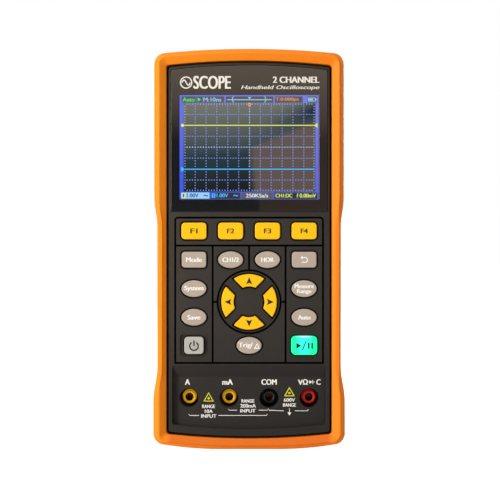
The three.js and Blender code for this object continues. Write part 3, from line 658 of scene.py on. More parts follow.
boot_low, boot_high = corners("boot")
cover_back = corners("front_cover")[1].y
lens_low, lens_high = corners("display_lens")
FACE = lens_low.y
PROUD = corners("key_f1")[0].y
PANEL = FACE + 2.7
PLATE_BACK = FACE + 2.4
WELL_END = PANEL + 8.9
OPEN_HALF = 40.85
OPEN_LOW = 5.4
OPEN_HIGH = 192.1
ARCH = 2.3
GAP = 0.3
GROOVE = 0.95
SCREEN = (0.0, middle("lcd_panel").z + 0.45, 69.1, 51.7)
JACK_X = [middle("jack_sleeve_" + jack).x for jack in ("amps", "milliamps", "common", "volts")]
JACK_Z = middle("jack_sleeve_amps").z


def case_outline(grow):
    return crowned(OPEN_HALF + grow, OPEN_LOW - grow, OPEN_HIGH + grow, ARCH)


# ---------------------------------------------------------------- paints

boot_paint = orange_rubber()
# The front moulding gets painted shade towards its right, away from the lit left side.
case_paint = case_black(fall=0.46)
rear_paint = case_black("rear_black", srgb(46, 43, 40))
lens_paint = lens_black()
legend_white = print_and_shade_ink("legend_white", srgb(252, 246, 238))
legend_brown = print_and_shade_ink("legend_brown", srgb(40, 28, 6))
legend_black = print_and_shade_ink("legend_black", srgb(18, 15, 12))
yellow_key = key_plastic("yellow_key", srgb(248, 190, 0), "key_yellow")
grey_key = key_plastic("grey_key", srgb(178, 162, 146), "key_grey")
pale_key = key_plastic("pale_key", srgb(180, 177, 166), "key_pale")
green_key = lit_green("key_run")
web_shade_paint = moulded("web_shade_black", srgb(14, 13, 12), 0.6, "black_plastic")
# Flat black without sheen: painted shade on the floors of the grooves and of the step round the edge.
groove_shade_paint = print_and_shade_ink("groove_shade_paint", srgb(3, 3, 3), 0.0)


# ---------------------------------------------------------------- the boot


def stretch(x, stations):
    """A straight-line reading between (place, value) stations."""
    for (low, first), (high, second) in zip(stations, stations[1:]):
        if x <= high:
            return first + (second - first) * (x - low) / (high - low)
    return stations[-1][1]


def boot_side(z):
    """Half the boot's width at a height, its bends eased over a few millimetres."""
    low = boot_high.x
    stations = [(-9, low), (26.8, low), (38.1, low - 2), (112.8, low - 2)]
    stations += [(122.1, low - 0.5), (210, low - 0.5)]
    reach = 2.5
    spots = [-1, -0.5, 0, 0.5, 1]
    return sum(stretch(z + reach * spot, stations) for spot in spots) / len(spots)


def ring(half, low, high, corner, steps=9):
    """A closed outline from a half width by height and the two ends by place across."""
    right = []
    for step in range(steps):
        turn = math.pi / 2 * step / steps
        edge = half(low(half(20)) + corner) - corner
        foot = low(edge)
        right.append((edge + corner * math.sin(turn), foot + corner * (1 - math.cos(turn))))
    start = right[-1][1] + 0.3
    top_edge = half(high(half(190)) - corner) - corner
    end = high(top_edge) - corner
    for step in range(61):
        z = start + (end - start) * step / 60
        right.append((half(z), z))
    for step in range(1, steps + 1):
        turn = math.pi / 2 * step / steps
        right.append((top_edge + corner * math.cos(turn), end + corner * math.sin(turn)))
    crown = []
    for step in range(1, 40):
        x = top_edge * (1 - step / 20)
        crown.append((x, high(x)))
    left = [(-x, z) for x, z in reversed(right)]
    foot = []
    first = right[0][0]
    for step in range(1, 40):
        x = -first + first * step / 20
        foot.append((x, low(x)))
    return right + crown + left + foot


def boot_ring(inset):
    def low(x):
        return 2.2 * max(0.0, (abs(x) - 14) / 27.8) ** 2 + inset

    def high(x):
        return boot_high.z - 2.0 * (x / 41.3) ** 2 - inset

    return ring(lambda z: boot_side(z) - inset, low, high, 5.6 - inset * 0.7)


def opening_ring(grow):
    half = OPEN_HALF + grow

    def low(x):
        return OPEN_LOW - grow + ARCH * (x / half) ** 2

    def high(x):
        return OPEN_HIGH + grow - ARCH * (x / half) ** 2

    return ring(lambda z: half, low, high, 1.4 + grow * 0.5)


def loft(name, loops):
    """Closed loops of equal count, each (outline, depth), joined in turn and back to the first."""
    count = len(loops[0][0])
    points = [(x * MM, depth * MM, z * MM) for outline, depth in loops for x, z in outline]
    faces = []
    for index in range(len(loops)):
        here, there = index * count, (index + 1) % len(loops) * count
        for step in range(count):
            after = (step + 1) % count
            faces.append((here + step, here + after, there + after, there + step))
    mesh = bpy.data.meshes.new(name)
    mesh.from_pydata(points, [], faces)
    item = bpy.data.objects.new(name, mesh)
    bpy.context.scene.collection.objects.link(item)
    clean(item)
    return item


def make_boot():
    front, back = boot_low.y, boot_high.y
    loops = [
        (boot_ring(2.4), back),
        (boot_ring(1.7), back - 0.35),
        (boot_ring(0.35), back - 2.4),
        (boot_ring(0.0), back - 3.4),
        (boot_ring(0.0), front + 3.4),
        (boot_ring(0.3), front + 2.5),
        (boot_ring(1.75), front + 0.62),
        (boot_ring(2.1), front + 0.2),
        (boot_ring(2.5), front + 0.02),
        (opening_ring(3.4), front + 0.04),
        (opening_ring(3.0), front + 0.22),
        (opening_ring(0.5), front + 1.95),
        (opening_ring(0.12), front + 2.3),
        (opening_ring(0.0), front + 2.6),
        (opening_ring(0.0), back - 0.5),
        (opening_ring(0.4), back),
    ]
    item = loft("rubber_boot", loops)
    bay_low = middle("usb_socket").y - 8.3
    window = box_piece("window", (-31.3, bay_low, OPEN_HIGH - 4), (31.3, bay_low + 16.6, boot_high.z + 2))
    cut_away(item, window)
    finish(item, boot_paint, replaces=["boot"], angle=32)


make_boot()


# ---------------------------------------------------------------- keys and their legends


def plain(shape, *size):
    """An outline maker: shape(x, z, width, height, ...) grown by a margin."""
    def outline(x, z, grow):
        width, height, *rest = size
        extra = [max(rest[0] + grow, 0.3)] if rest else []
        return shape(x, z, width + 2 * grow, height + 2 * grow, *extra)
    return outline


RING_Z = middle("key_left").z


def arrow_outline(turn, grow):
    outer, inner, side = 13.7 + grow, 7.6 - grow, 2.7 - grow
    outer_half = math.pi / 4 - math.asin(side / outer)
    inner_half = math.pi / 4 - math.asin(side / inner)
    points = arc(0, RING_Z, outer, turn - outer_half, turn + outer_half, 22)
    points += arc(0, RING_Z, inner, turn + inner_half, turn - inner_half, 14)
    return soften(points, 1.2, 5, 0.6)


function_outline = plain(rectangle, 12.4, 8.2, 2.0)
corner_outline = plain(rectangle, 12.1, 7.8, 1.8)
oval_outline = plain(oval, 12.3, 8.2)
power_outline = plain(rectangle, 9.6, 8.5, 2.0)
run_outline = plain(rectangle, 12.8, 9.2, 2.4)
KEYS = {
    "key_f1": (function_outline, yellow_key), "key_f2": (function_outline, yellow_key),
    "key_f3": (function_outline, yellow_key), "key_f4": (function_outline, yellow_key),
    "key_mode": (corner_outline, grey_key), "key_back": (corner_outline, grey_key),
    "key_channel": (oval_outline, grey_key), "key_horizontal": (oval_outline, grey_key),
    "key_system": (oval_outline, grey_key), "key_measure": (oval_outline, grey_key),
    "key_save": (oval_outline, grey_key), "key_auto": (oval_outline, grey_key),
    "key_trigger": (oval_outline, grey_key), "key_power": (power_outline, pale_key),
    "key_run": (run_outline, green_key),
}
ARROWS = {"key_right": 0, "key_up": math.pi / 2, "key_left": math.pi, "key_down": -math.pi / 2}
key_holes = []


def place_key(key, outline, paint, x, z):
    cap = flat_piece(key + "_cap", [outline(x, z, 0)], PROUD, PLATE_BACK + 0.2, 0.42, 4)
    finish(cap, paint, key, [key], 40)
    # Behind each key a black web: painted shade, so that the gap round the key looks dark.
    web = flat_piece(key + "_web", [outline(x, z, 1.05)], PLATE_BACK + 0.3, PLATE_BACK + 1.3)
    finish(web, web_shade_paint, key)
    key_holes.append(outline(x, z, 0.7))


for key, (outline, paint) in KEYS.items():
    centre = middle(key)
    place_key(key, outline, paint, centre.x, centre.z)
for key, turn in ARROWS.items():
    place_key(key, lambda x, z, grow, turn=turn: arrow_outline(turn, grow), yellow_key, 0, 0)


def join_on(key, name, *parts, paint=legend_white):
    """Printed parts, or sheets of painted shade, joined as one piece that moves with a key, or with the
    case.
    """
    item = merge(name, *parts)
    finish(item, paint, key)


def key_label(key, text, width, height, paint=legend_white, shift=0.0, weight=0.3):
    centre = middle(key)
    words = label(text, centre.x + shift, centre.z, width, height, PROUD, weight)
    join_on(key, key + "_legend", words, paint=paint)


for number in (1, 2, 3, 4):
    key_label(f"key_f{number}", f"F{number}", 3.6, 2.4, legend_brown, weight=0.26)
for key, text, width, height in (
    ("mode", "Mode", 8.0, 2.3), ("channel", "CH1/2", 8.2, 2.3), ("horizontal", "HOR", 6.4, 2.2),
    ("system", "System", 9.6, 3.0), ("save", "Save", 6.6, 2.3), ("auto", "Auto", 6.4, 2.2),
):
    key_label("key_" + key, text, width, height)
key_label("key_trigger", "Trig/", 7.2, 3.0, shift=-1.7)


def arrow_mark(x, z, turn, size=1.2):
    """A solid arrowhead with a notched base."""
    points = [(1.5, 0), (-1.3, 1.25), (-0.75, 0), (-1.3, -1.25)]
    cos, sin = math.cos(turn) * size, math.sin(turn) * size
    return [(x + a * cos - b * sin, z + a * sin + b * cos) for a, b in points]


for key, turn in ARROWS.items():
    reach = 10.3
    outline = arrow_mark(reach * math.cos(turn), RING_Z + reach * math.sin(turn), turn)
    join_on(key, key + "_legend", mark([outline], PROUD), paint=legend_black)

back = middle("key_back")
hook = arc(back.x + 0.4, back.z - 0.1, 1.15, -math.pi / 2, math.pi / 2, 14)
join_on(
    "key_back", "key_back_legend",
    stroke([(back.x - 1.2, back.z - 1.25)] + hook + [(back.x - 1.0, back.z + 1.05)], PROUD, 0.5),
    mark([[(back.x + x, back.z + z) for x, z in ((-1.9, 1.05), (-0.8, 1.95), (-0.8, 0.15))]], PROUD - 0.01),
)
measure = middle("key_measure")
join_on(
    "key_measure", "key_measure_legend",
    label("Measure", measure.x, measure.z + 1.3, 9.6, 2.1, PROUD, 0.24),
    label("Range", measure.x, measure.z - 1.5, 7.2, 2.6, PROUD, 0.24),
)
trigger = middle("key_trigger")
triangles = []
for size in (1.5, 0.75):
    x, z = trigger.x + 3.9, trigger.z - 0.4
    triangles.append([(x - size, z - size * 0.8), (x + size, z - size * 0.8), (x, z + size * 1.1)])
join_on("key_trigger", "key_trigger_sign", mark(triangles, PROUD))
power = middle("key_power")
join_on(
    "key_power", "key_power_legend",
    stroke(arc(power.x, power.z - 0.3, 2.1, math.radians(122), math.radians(418), 40), PROUD, 0.66),
    stroke([(power.x, power.z - 0.2), (power.x, power.z + 2.4)], PROUD - 0.01, 0.66),
    paint=legend_black,
)
run = middle("key_run")
legend_run = print_and_shade_ink("legend_run", srgb(4, 34, 24), 0.2)
join_on(
    "key_run", "key_run_legend",
    mark([[(run.x - 3.9, run.z - 1.6), (run.x - 1.5, run.z - 0.1), (run.x - 3.9, run.z + 1.4)]], PROUD),
    stroke([(run.x - 0.9, run.z - 2.2), (run.x + 0.9, run.z + 2.1)], PROUD, 0.55),
    stroke([(run.x + 2.2, run.z - 1.6), (run.x + 2.2, run.z + 1.4)], PROUD, 0.8),
    stroke([(run.x + 3.9, run.z - 1.6), (run.x + 3.9, run.z + 1.4)], PROUD, 0.8),
    paint=legend_run,
)


# ---------------------------------------------------------------- the front cover


def lens_outline(grow):
    half = lens_high.x + grow
    low = lens_low.z - grow
    high = lens_high.z + grow
    steps = 30
    top = []
    for step in range(steps + 1):
        x = half - 2 * half * step / steps
        top.append((x, high - ARCH * (x / half) ** 2))
    return soften([(-half, low), (half, low)] + top, 1.0, 4, 0.8)


def panel_outline(grow, top=41.5):
    half, low = 37.9 + grow, 10.0 - grow
    foot = [(-half + 2 * half * step / 30, low + ARCH * (2 * step / 30 - 1) ** 2) for step in range(31)]
    return soften(foot + [(half, top), (-half, top)], 1.6, 5, 0.8)


# A groove cut into the plate, with a flat black sheet at its floor: painted shade.
def groove(points, tools, shade_sheets):
    tools.append(flat_piece("groove", [band(points, GROOVE)], FACE - 1, FACE + 0.5))
    shade_sheets.append(flat_piece("groove_shade_sheet", [band(points, GROOVE)], FACE + 0.12, FACE + 0.6))


def make_front_cover():
    holes = key_holes + [panel_outline(0)]
    plate = flat_piece("front_plate", [case_outline(-0.55)] + holes, FACE, PLATE_BACK, 0.3, 3)
    pocket = flat_piece("pocket", [lens_outline(0.25)], FACE - 1, FACE + 1.6)
    x, z, width, height = SCREEN
    window = flat_piece("window", [rectangle(x, z, width + 2, height + 2, 0.5)], FACE - 1, PLATE_BACK + 1)
    power_dish = rectangle(power.x, power.z, 13.8, 10.8, 1.9)
    spot = flat_piece("recess", [power_dish], FACE - 1, FACE + 0.8)
    cut_away(plate, pocket, window, spot)
    half, column, top, low, plates, corner, ring = 36.5, 18.0, 114.5, 100.7, 42.7, 1.4, 32.1
    tools, shade_sheets = [], []
    turn = math.pi / 2
    frame_line = [(-half, plates - GROOVE / 2)] + arc(corner - half, top - corner, corner, 2 * turn, turn, 6)
    frame_line += arc(half - corner, top - corner, corner, turn, 0, 6) + [(half, plates - GROOVE / 2)]
    groove(frame_line, tools, shade_sheets)
    for side in (-column, column):
        groove([(side, low), (side, plates)], tools, shade_sheets)
    for height_line in (low, plates):
        groove([(-half, height_line), (half, height_line)], tools, shade_sheets)
    groove([(0, RING_Z + 15.6), (0, low)], tools, shade_sheets)
    groove([(-column, RING_Z), (-15.6, RING_Z)], tools, shade_sheets)
    groove([(column, RING_Z), (15.6, RING_Z)], tools, shade_sheets)
    # A step round the cover's edge, its floor a black sheet: the boot's shadow painted on the cover.
    step_in = [case_outline(1), case_outline(-1.1)]
    tools.append(flat_piece("groove", step_in, FACE - 1, FACE + 0.7))
    shade_sheets.append(flat_piece("groove_shade_sheet", [case_outline(-0.6), case_outline(-1.1)], FACE + 0.6, FACE + 0.8))
    inner_ring = ring - 2 * GROOVE
    circle = [oval(0, RING_Z, ring, ring, 96), oval(0, RING_Z, inner_ring, inner_ring, 96)]
    tools.append(flat_piece("groove", circle, FACE - 1, FACE + 0.5))
    shade_sheets.append(flat_piece("groove_shade_sheet", circle, FACE + 0.16, FACE + 0.6))
    join_on(CASE, "groove_shade_lines", *shade_sheets, paint=groove_shade_paint)
    cut_away(plate, *tools)
    floor = flat_piece("floor", [panel_outline(1.6, 40)] + [oval(x, JACK_Z, 9.4, 9.4) for x in JACK_X],
                       PANEL, PANEL + 2.0, 0.3, 3)
    rim = flat_piece("rim", [panel_outline(1.6, 40), panel_outline(0, 38.4)], PLATE_BACK - 0.3, PANEL + 0.8)
    wells = []
    for x in JACK_X:
        for inner, outer, mouth in ((4.75, 6.3, PANEL + 0.5), (3.5, 4.9, WELL_END - 0.6)):
            wall = [(inner, mouth), (inner, WELL_END), (outer, WELL_END), (outer, mouth)]
            wells.append(turned("well", wall, x, JACK_Z))
    slope = bpy.data.meshes.new("slope")
    section = [(FACE + 0.02, 42.0), (FACE + 0.02, 41.45), (FACE + 0.35, 40.9), (PANEL - 0.3, 36.3),
               (PANEL + 0.02, 35.6), (PANEL + 1.0, 35.6), (PANEL + 1.0, 42.0)]
    half = 37.88
    count = len(section)
    points = [(side * half * MM, y * MM, z * MM) for side in (-1, 1) for y, z in section]
    faces = [tuple(range(count)), tuple(range(2 * count - 1, count - 1, -1))]
    faces += [(i, (i + 1) % count, (i + 1) % count + count, i + count) for i in range(count)]
    slope.from_pydata(points, [], faces)
    ramp = bpy.data.objects.new("slope", slope)
    bpy.context.scene.collection.objects.link(ramp)
    clean(ramp)
    shell = flat_piece("shell", [case_outline(-0.6), case_outline(-2.4)], PLATE_BACK - 0.2, cover_back)
    item = merge("front_moulding", plate, floor, rim, ramp, shell, *wells)
    finish(item, case_paint, replaces=["front_cover"], angle=30)


make_front_cover()


# ---------------------------------------------------------------- the lens and its print


def make_lens():
    x, z, width, height = SCREEN
    holes = [rectangle(x, z, width, height, 0.25)]
    item = flat_piece("lens_frame", [lens_outline(0)] + holes, FACE, FACE + 1.3, 0.22, 3)
    finish(item, lens_paint, replaces=["display_lens"])


make_lens()
LENS = FACE + 0.02
sine = [(-33.2 + step * 0.21, 181.2 + 1.3 * math.sin(step * 0.21 * 1.5)) for step in range(21)]
emblem = [
    mark([oval(-31.1, 181.2, 6.1, 6.1), oval(-31.1, 181.2, 4.9, 4.9)], LENS),
    stroke(sine, LENS, 0.55),
]
join_on(CASE, "lens_print", *emblem,
         label("SCOPE", -18.3, 181.3, 18.6, 6.4, LENS, 0.5),
         label("2 CHANNEL", 23.2, 182.6, 23.1, 3.1, LENS, 0.4),
         label("Handheld Oscilloscope", 15.4, 178.6, 38.8, 2.4, LENS, 0.16, 0.25),
         paint=print_and_shade_ink("lens_white", srgb(236, 228, 218)))


# ---------------------------------------------------------------- the display's picture


SCREEN_FRONT = FACE + 0.35
OVER = SCREEN_FRONT - 0.05
GRID = (-32.0, 32.4, 127.7, 170.9)
BAR_Z, BAR_HEIGHT = 172.85, 3.1
LOW_Z, LOW_HEIGHT = 125.4, 3.0
SCREEN_INKS = {
    "grid": ((140, 156, 240), 1.0), "axes": ((170, 196, 250), 1.2), "yellow": ((212, 228, 96), 0.95),
    "cyan": ((54, 178, 240), 1.0), "orange": ((250, 160, 40), 0.95), "panel": ((92, 90, 88), 0.75),
    "dark": ((44, 42, 44), 0.7), "pale_blue": ((150, 205, 238), 0.9), "green": ((60, 220, 110), 1.0),
    "pale": ((232, 232, 226), 0.9), "amber": ((226, 150, 96), 0.9), "blue": ((30, 60, 150), 0.7),
}
screen_inks = {}
for ink, (tone, light) in SCREEN_INKS.items():
    screen_inks[ink] = screen_ink("ink_" + ink, srgb(*tone), light)


def lit(name, ink, *parts):
    """A lit part of the display's picture."""
    join_on(CASE, name, *parts, paint=screen_inks[ink])


def field(x, z, width, height):
    """A panel behind a reading."""
    return mark([rectangle(x, z, width, height, 0.3)], SCREEN_FRONT, 0.04)


def over(*outlines):
    return mark(list(outlines), OVER)


def dotted(x, z, width, height, count, step_x, step_z, thickness=0.05):
    """One small rectangle again and again in a row."""
    item = mark([rectangle(x, z, width, height)], SCREEN_FRONT, thickness)
    repeat(item, count, step_x, step_z)
    return item


def make_glass():
    x, z, width, height = SCREEN
    outline = rectangle(x, z, width - 0.3, height - 0.3, 0.2)
    finish(flat_piece("screen_field", [outline], SCREEN_FRONT, FACE + 0.9), screen_glass())
    rim = [rectangle(x, z, width - 0.35, height - 0.35, 0.2), rectangle(0.2, 149.25, 65.2, 43.7)]
    finish(merge("screen_border", mark(rim, SCREEN_FRONT, 0.02)), screen_border())


def make_grid():
    left, right, low, high = GRID
    columns, rows, spots = 12, 8, 4
    step_x, step_z = (right - left) / columns, (high - low) / rows
    dot_x, dot_z = step_x / spots, step_z / spots
    wide, tall = columns * spots - 1, rows * spots - 1
    across = dotted(left + dot_x, low + step_z, 0.4, 0.5, wide, dot_x, 0, 0.04)
    repeat(across, rows - 1, 0, step_z)
    upward = dotted(left + step_x, low + dot_z, 0.5, 0.4, tall, 0, dot_z, 0.04)
    repeat(upward, columns - 1, step_x, 0)
    lit("screen_grid", "grid", across, upward)
    ticks = [
        dotted((left + right) / 2, low + dot_z, 0.6, 0.36, tall, 0, dot_z),
        dotted(left + dot_x, (low + high) / 2, 0.36, 0.6, wide, dot_x, 0),
    ]
    ticks += [dotted(left + dot_x, z, 0.2, 0.6, wide, dot_x, 0) for z in (low + 0.3, high - 0.3)]
    ticks += [dotted(x, low + dot_z, 0.6, 0.2, tall, 0, dot_z) for x in (left + 0.3, right - 0.3)]
    lit("screen_axes", "axes", *ticks)


def make_traces():
    first, second, top = 160.1, 138.4, GRID[3] - 0.5
    lit("trace_one", "yellow", over(rectangle(0.2, first, 64.6, 0.46)),
        over(oval(-32.9, first, 1.6, 1.6, 20)),
        over([(32.0, first), (33.8, first + 1.2), (33.8, first - 1.2)]))
    arrow = [(-33.7, -0.9), (-32.8, -0.9), (-32.0, 0), (-32.8, 0.9), (-33.7, 0.9)]
    lit("trace_two", "cyan", over(rectangle(0.2, second, 64.6, 0.5)),
        over([(x, second + rise) for x, rise in arrow]))
    lit("trigger_ring", "orange", over(oval(0.2, top, 1.7, 1.7, 24), oval(0.2, top, 0.9, 0.9, 20)))


def reading(text, x, rise, width, height, weight, z=LOW_Z, front=OVER):
    """Words on one of the display's bars."""
    return label(text, x, z + rise, width, height, front, weight)


def make_bars():
    places = ((-29.85, 7.0), (-24.6, 2.9), (-17.7, 10.6), (0.25, 23.4), (19.6, 13.7), (31.2, 4.7))
    plates = [field(x, BAR_Z, wide, BAR_HEIGHT) for x, wide in places]
    lit("bar_panels", "panel", *plates, field(4.0, LOW_Z, 15.8, LOW_HEIGHT))
    lit("bar_panels_dark", "dark", field(-11.7, LOW_Z, 14.4, LOW_HEIGHT),
        field(23.1, LOW_Z, 21.2, LOW_HEIGHT))
    lit("bar_panel_one", "pale_blue", field(-26.6, LOW_Z, 14.0, LOW_HEIGHT))
    lit("bar_words_green", "green", reading("Auto", -29.9, 0, 6.0, 2.0, 0.16, BAR_Z),
        over([(-25.4, BAR_Z - 1.0), (-23.7, BAR_Z), (-25.4, BAR_Z + 1.0)]))
    lit("bar_words_pale", "pale", reading("250KSa/s", 3.9, 0, 11.0, 1.9, 0.12))
    lit("bar_words_time", "amber", reading("T:0.000ps", 18.8, 0, 11.4, 2.0, 0.12, BAR_Z))
    corner = [(7.5, 1.4), (8.2, 0.9), (8.2, -0.9), (7.5, -1.4)]
    brackets = [stroke([(side * x, BAR_Z + rise) for x, rise in corner], OVER, 0.35) for side in (-1, 1)]
    lit("bar_line", "pale_blue", reading("M:10ns", -18.2, 0, 8.8, 2.0, 0.12, BAR_Z),
        stroke([(-10.9, BAR_Z - 0.1), (11.2, BAR_Z - 0.1)], OVER, 0.42),
        mark([[(-0.7, BAR_Z + 1.2), (1.1, BAR_Z + 1.2), (0.2, BAR_Z + 0.2)]], OVER - 0.01), *brackets,
        over(rectangle(31.0, BAR_Z, 3.8, 1.9, 0.3), rectangle(31.0, BAR_Z, 3.1, 1.2, 0.2)),
        over(rectangle(30.6, BAR_Z, 2.0, 0.8)), over(rectangle(33.15, BAR_Z, 0.5, 0.8)))
    lit("bar_words_cyan", "cyan", over(rectangle(-17.6, LOW_Z, 1.9, 2.2, 0.3)),
        reading("1.00V", -13.2, 0.1, 5.8, 1.9, 0.14), reading("~", -6.6, 0, 2.2, 0.9, 0.1))
    lit("bar_words_yellow", "yellow", over(rectangle(-32.4, LOW_Z, 1.9, 2.2, 0.3)),
        reading("CH1:DC", 17.2, 0, 8.4, 1.9, 0.16), reading("f 0.00mV", 28.3, 0, 9.6, 2.0, 0.16))
    lit("bar_words_blue", "blue", reading("1", -32.4, 0, 0.7, 1.5, 0.14, front=OVER - 0.06),
        reading("2", -17.6, 0, 1.0, 1.5, 0.14, front=OVER - 0.06),
        reading("1.00V", -27.9, 0.1, 5.8, 1.9, 0.14), reading("~", -21.4, 0, 2.2, 0.9, 0.1))


make_glass()
make_grid()
make_traces()
make_bars()


# ---------------------------------------------------------------- the input panel's print


def panel_prints():
    front = PANEL
    bold, bold_height = 0.3, 2.7
    titles = [("A", -30.6, 2.6), ("mA", -10.7, 5.3), ("COM", 9.9, 7.7), ("VΩ", 26.7, 5.0), ("C", 34.4, 2.2)]
    words = [label(text, x, 33.0, width, bold_height, front, bold) for text, x, width in titles]
    small = [
        ("RANGE", -20.1, 20.9, 6.4, 1.7), ("10A", -20.0, 18.5, 4.0, 1.7), ("INPUT", -20.0, 16.1, 7.6, 1.7),
        ("RANGE", -0.6, 23.6, 6.4, 1.7), ("200mA", -0.5, 21.2, 7.8, 1.8), ("INPUT", -0.6, 18.7, 7.6, 1.7),
        ("600V", 20.0, 24.1, 5.6, 1.7), ("RANGE", 20.0, 21.6, 6.4, 1.7),
    ]
    words += [label(text, x, z, width, height, front, 0.14) for text, x, z, width, height in small]
    words += [
        mark([[(29.9, 33.9), (31.4, 33.0), (29.9, 32.1)]], front),
        stroke([(29.6, 33.0), (32.7, 33.0)], front - 0.01, 0.25),
        stroke([(31.55, 34.0), (31.55, 32.0)], front - 0.01, 0.35),
        mark([[(19.0, 18.2), (20.0, 16.4), (21.0, 18.2), (20.0, 17.6)]], front - 0.01),
    ]
    lines = [
        [(-29.9, 17.0), (-29.5, 16.4), (-24.9, 16.4)],
        [(-15.2, 16.4), (8.6, 16.4), (9.0, 17.0)],
        [(-10.2, 19.6), (-9.8, 19.0), (-6.0, 19.0)],
        [(4.8, 19.0), (9.0, 19.0), (9.5, 19.7), (10.0, 19.0), (17.2, 18.7)],
        [(22.8, 18.7), (28.9, 18.7), (29.4, 19.4)],
        [(20.0, 19.8), (20.0, 17.4)],
    ]
    words += [stroke(points, front, 0.28) for points in lines]
    join_on(CASE, "panel_print", *words)
    signs = []
    for x, z in ((-20.1, 25.4), (20.0, 28.0)):
        outer = soften([(x - 2.7, z - 2.1), (x + 2.7, z - 2.1), (x, z + 2.6)], 0.4, 3, 0.3)
        inner = soften([(x - 1.9, z - 1.65), (x + 1.9, z - 1.65), (x, z + 1.7)], 0.2, 3, 0.3)
        signs.append(mark([outer, inner], front))
        signs.append(mark([oval(x, z - 0.5, 1.2, 1.2, 20)], front))
    join_on(CASE, "panel_signs", *signs, paint=print_and_shade_ink("legend_yellow", srgb(222, 212, 36)))


panel_prints()


# ---------------------------------------------------------------- sockets


def make_jacks():
    paints = {
        # The yellow and red sleeves glow a little: painted light that lifts them out of the shade of their
        # wells.
        "amps": moulded("jack_yellow", srgb(250, 186, 10), 0.35, "yellow_plastic", 0.3),
        "common": moulded("jack_black", srgb(22, 21, 21), 0.3, "black_plastic"),
        "volts": moulded("jack_red", srgb(206, 22, 24), 0.35, "red_plastic", 0.25),
    }
    paints["milliamps"] = paints["amps"]
    brass = metal("contact_brass", srgb(120, 88, 44), 0.35, "brass")
    for jack, paint in paints.items():
        sleeve = "jack_sleeve_" + jack
        contact = "jack_contact_" + jack
        low, high = corners(sleeve)
        x = middle(sleeve).x
        face, end = low.y, high.y
        flange = WELL_END + GAP
        profile = [
            (3.15, face + 0.35), (3.05, face + 0.1), (2.8, face), (2.3, face), (2.12, face + 0.08),
            (2.05, face + 0.3), (2.05, face + 1.0), (2.6, face + 1.0), (2.6, end), (4.7, end),
            (4.7, flange + 1.8), (6.0, flange + 1.8), (6.0, flange), (3.15, flange),
        ]
        finish(turned(sleeve + "_smooth", profile, x, JACK_Z), paint, replaces=[sleeve], angle=40)
        low, high = corners(contact)
        inner, outer = 2.0, 2.4
        tube = high.y - 3.3
        profile = [
            (0, tube - 1.5), (inner, tube - 1.5), (inner, low.y + 0.1), (outer - 0.1, low.y),
            (outer, low.y + 0.1), (outer, tube), (1.2, tube), (1.2, high.y - 0.15), (1.05, high.y),
            (0, high.y),
        ]
        finish(turned(contact + "_smooth", profile, x, JACK_Z, 48), brass, replaces=[contact], angle=40)


make_jacks()


# ---------------------------------------------------------------- the back, the probe bay and the fastenings


def copy_solid(node):
    """The CAD solid again as a piece of its own."""
    item = bpy.data.objects.new(node + "_finished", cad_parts[node].data.copy())
    bpy.context.scene.collection.objects.link(item)
    clean(item)
    return item


def restyle(node, paint, width, body=CASE):
    """The CAD solid again as a finished piece, its edges rounded."""
    item = copy_solid(node)
    round_edges(item, width)
    finish(item, paint, body, [node])


def make_sockets_above():
    nickel = metal("socket_nickel", srgb(206, 204, 198), 0.22, "nickel")
    for name in ("one", "two"):
        node = "bnc_" + name
        low, high = corners(node)
        x, y = middle(node).x, middle("usb_socket").y
        base, top = low.z + 7, high.z
        profile = [
            (0, low.z), (4.2, low.z), (4.4, low.z + 0.3), (4.4, base), (6.3, base), (6.6, base + 0.3),
            (6.6, base + 1.9), (6.3, base + 2.2), (4.85, base + 2.2), (4.85, top - 4.6), (4.55, top - 4.3),
            (4.55, top - 3.9), (4.85, top - 3.6), (4.85, top - 0.4), (4.55, top), (3.85, top),
            (3.6, top - 0.3), (3.6, top - 9), (0, top - 9),
        ]
        shell = turned(node + "_shell", profile, 0, 0, 64, "Z")
        shell.data.transform(Matrix.Translation((x * MM, y * MM, 0)))
        lugs = []
        for side in (-1, 1):
            lug = turned("lug", [(0, 0), (0.95, 0), (0.95, 1.1), (0.8, 1.25), (0, 1.25)], 0, 0, 24)
            lug.data.transform(Matrix.Rotation(math.pi if side < 0 else 0, 4, "X"))
            lug.data.transform(Matrix.Translation((x * MM, (y + side * 4.8) * MM, (base + 9.2) * MM)))
            lugs.append(lug)
        finish(merge(node + "_smooth", shell, *lugs), nickel, replaces=[node], angle=40)
        restyle("bnc_insulator_" + name, fluoro_paint, 0.1)
    restyle("usb_socket", nickel, 0.12)


def make_back():
    restyle("rear_cover", rear_paint, 0.3)
    restyle("battery_cover", rear_paint, 0.35)
    restyle("kickstand", stand_paint, 0.45, "kickstand")
    restyle("kickstand_pin", screw_steel, 0.1)
    low, high = corners("kickstand")
    sunk = high.y - 0.35
    grip = [rectangle(0, low.z + 6 + step * 2.6, 30, 1.1, 0.5) for step in range(6)]
    ribs = [flat_piece("rib", [outline], sunk, high.y + 0.3, 0.25, 2) for outline in grip]
    frame_ribs = [(0, 34, 44, 1.2), (0, 62, 44, 1.2), (-22.6, 48, 1.2, 29.2), (22.6, 48, 1.2, 29.2)]
    for x, rise, width, height in frame_ribs:
        outline = rectangle(x, low.z + rise, width, height, 0.5)
        ribs.append(flat_piece("rib", [outline], sunk, high.y + 0.2, 0.2, 2))
    finish(merge("stand_ribs", *ribs), stand_paint, "kickstand")
    for node in ("case_screw_1", "case_screw_2", "case_screw_3", "case_screw_4", "battery_cover_screw"):
        screw = copy_solid(node)
        centre = middle(node)
        head = corners(node)[1].y
        reach = extent(node).x * 0.3
        for wide, tall in ((reach, 0.3), (0.3, reach)):
            near = (centre.x - wide, head - 0.5, centre.z - tall)
            far = (centre.x + wide, head + 1, centre.z + tall)
            cut_away(screw, box_piece("slot", near, far))
        finish(screw, screw_steel, replaces=[node], angle=40)


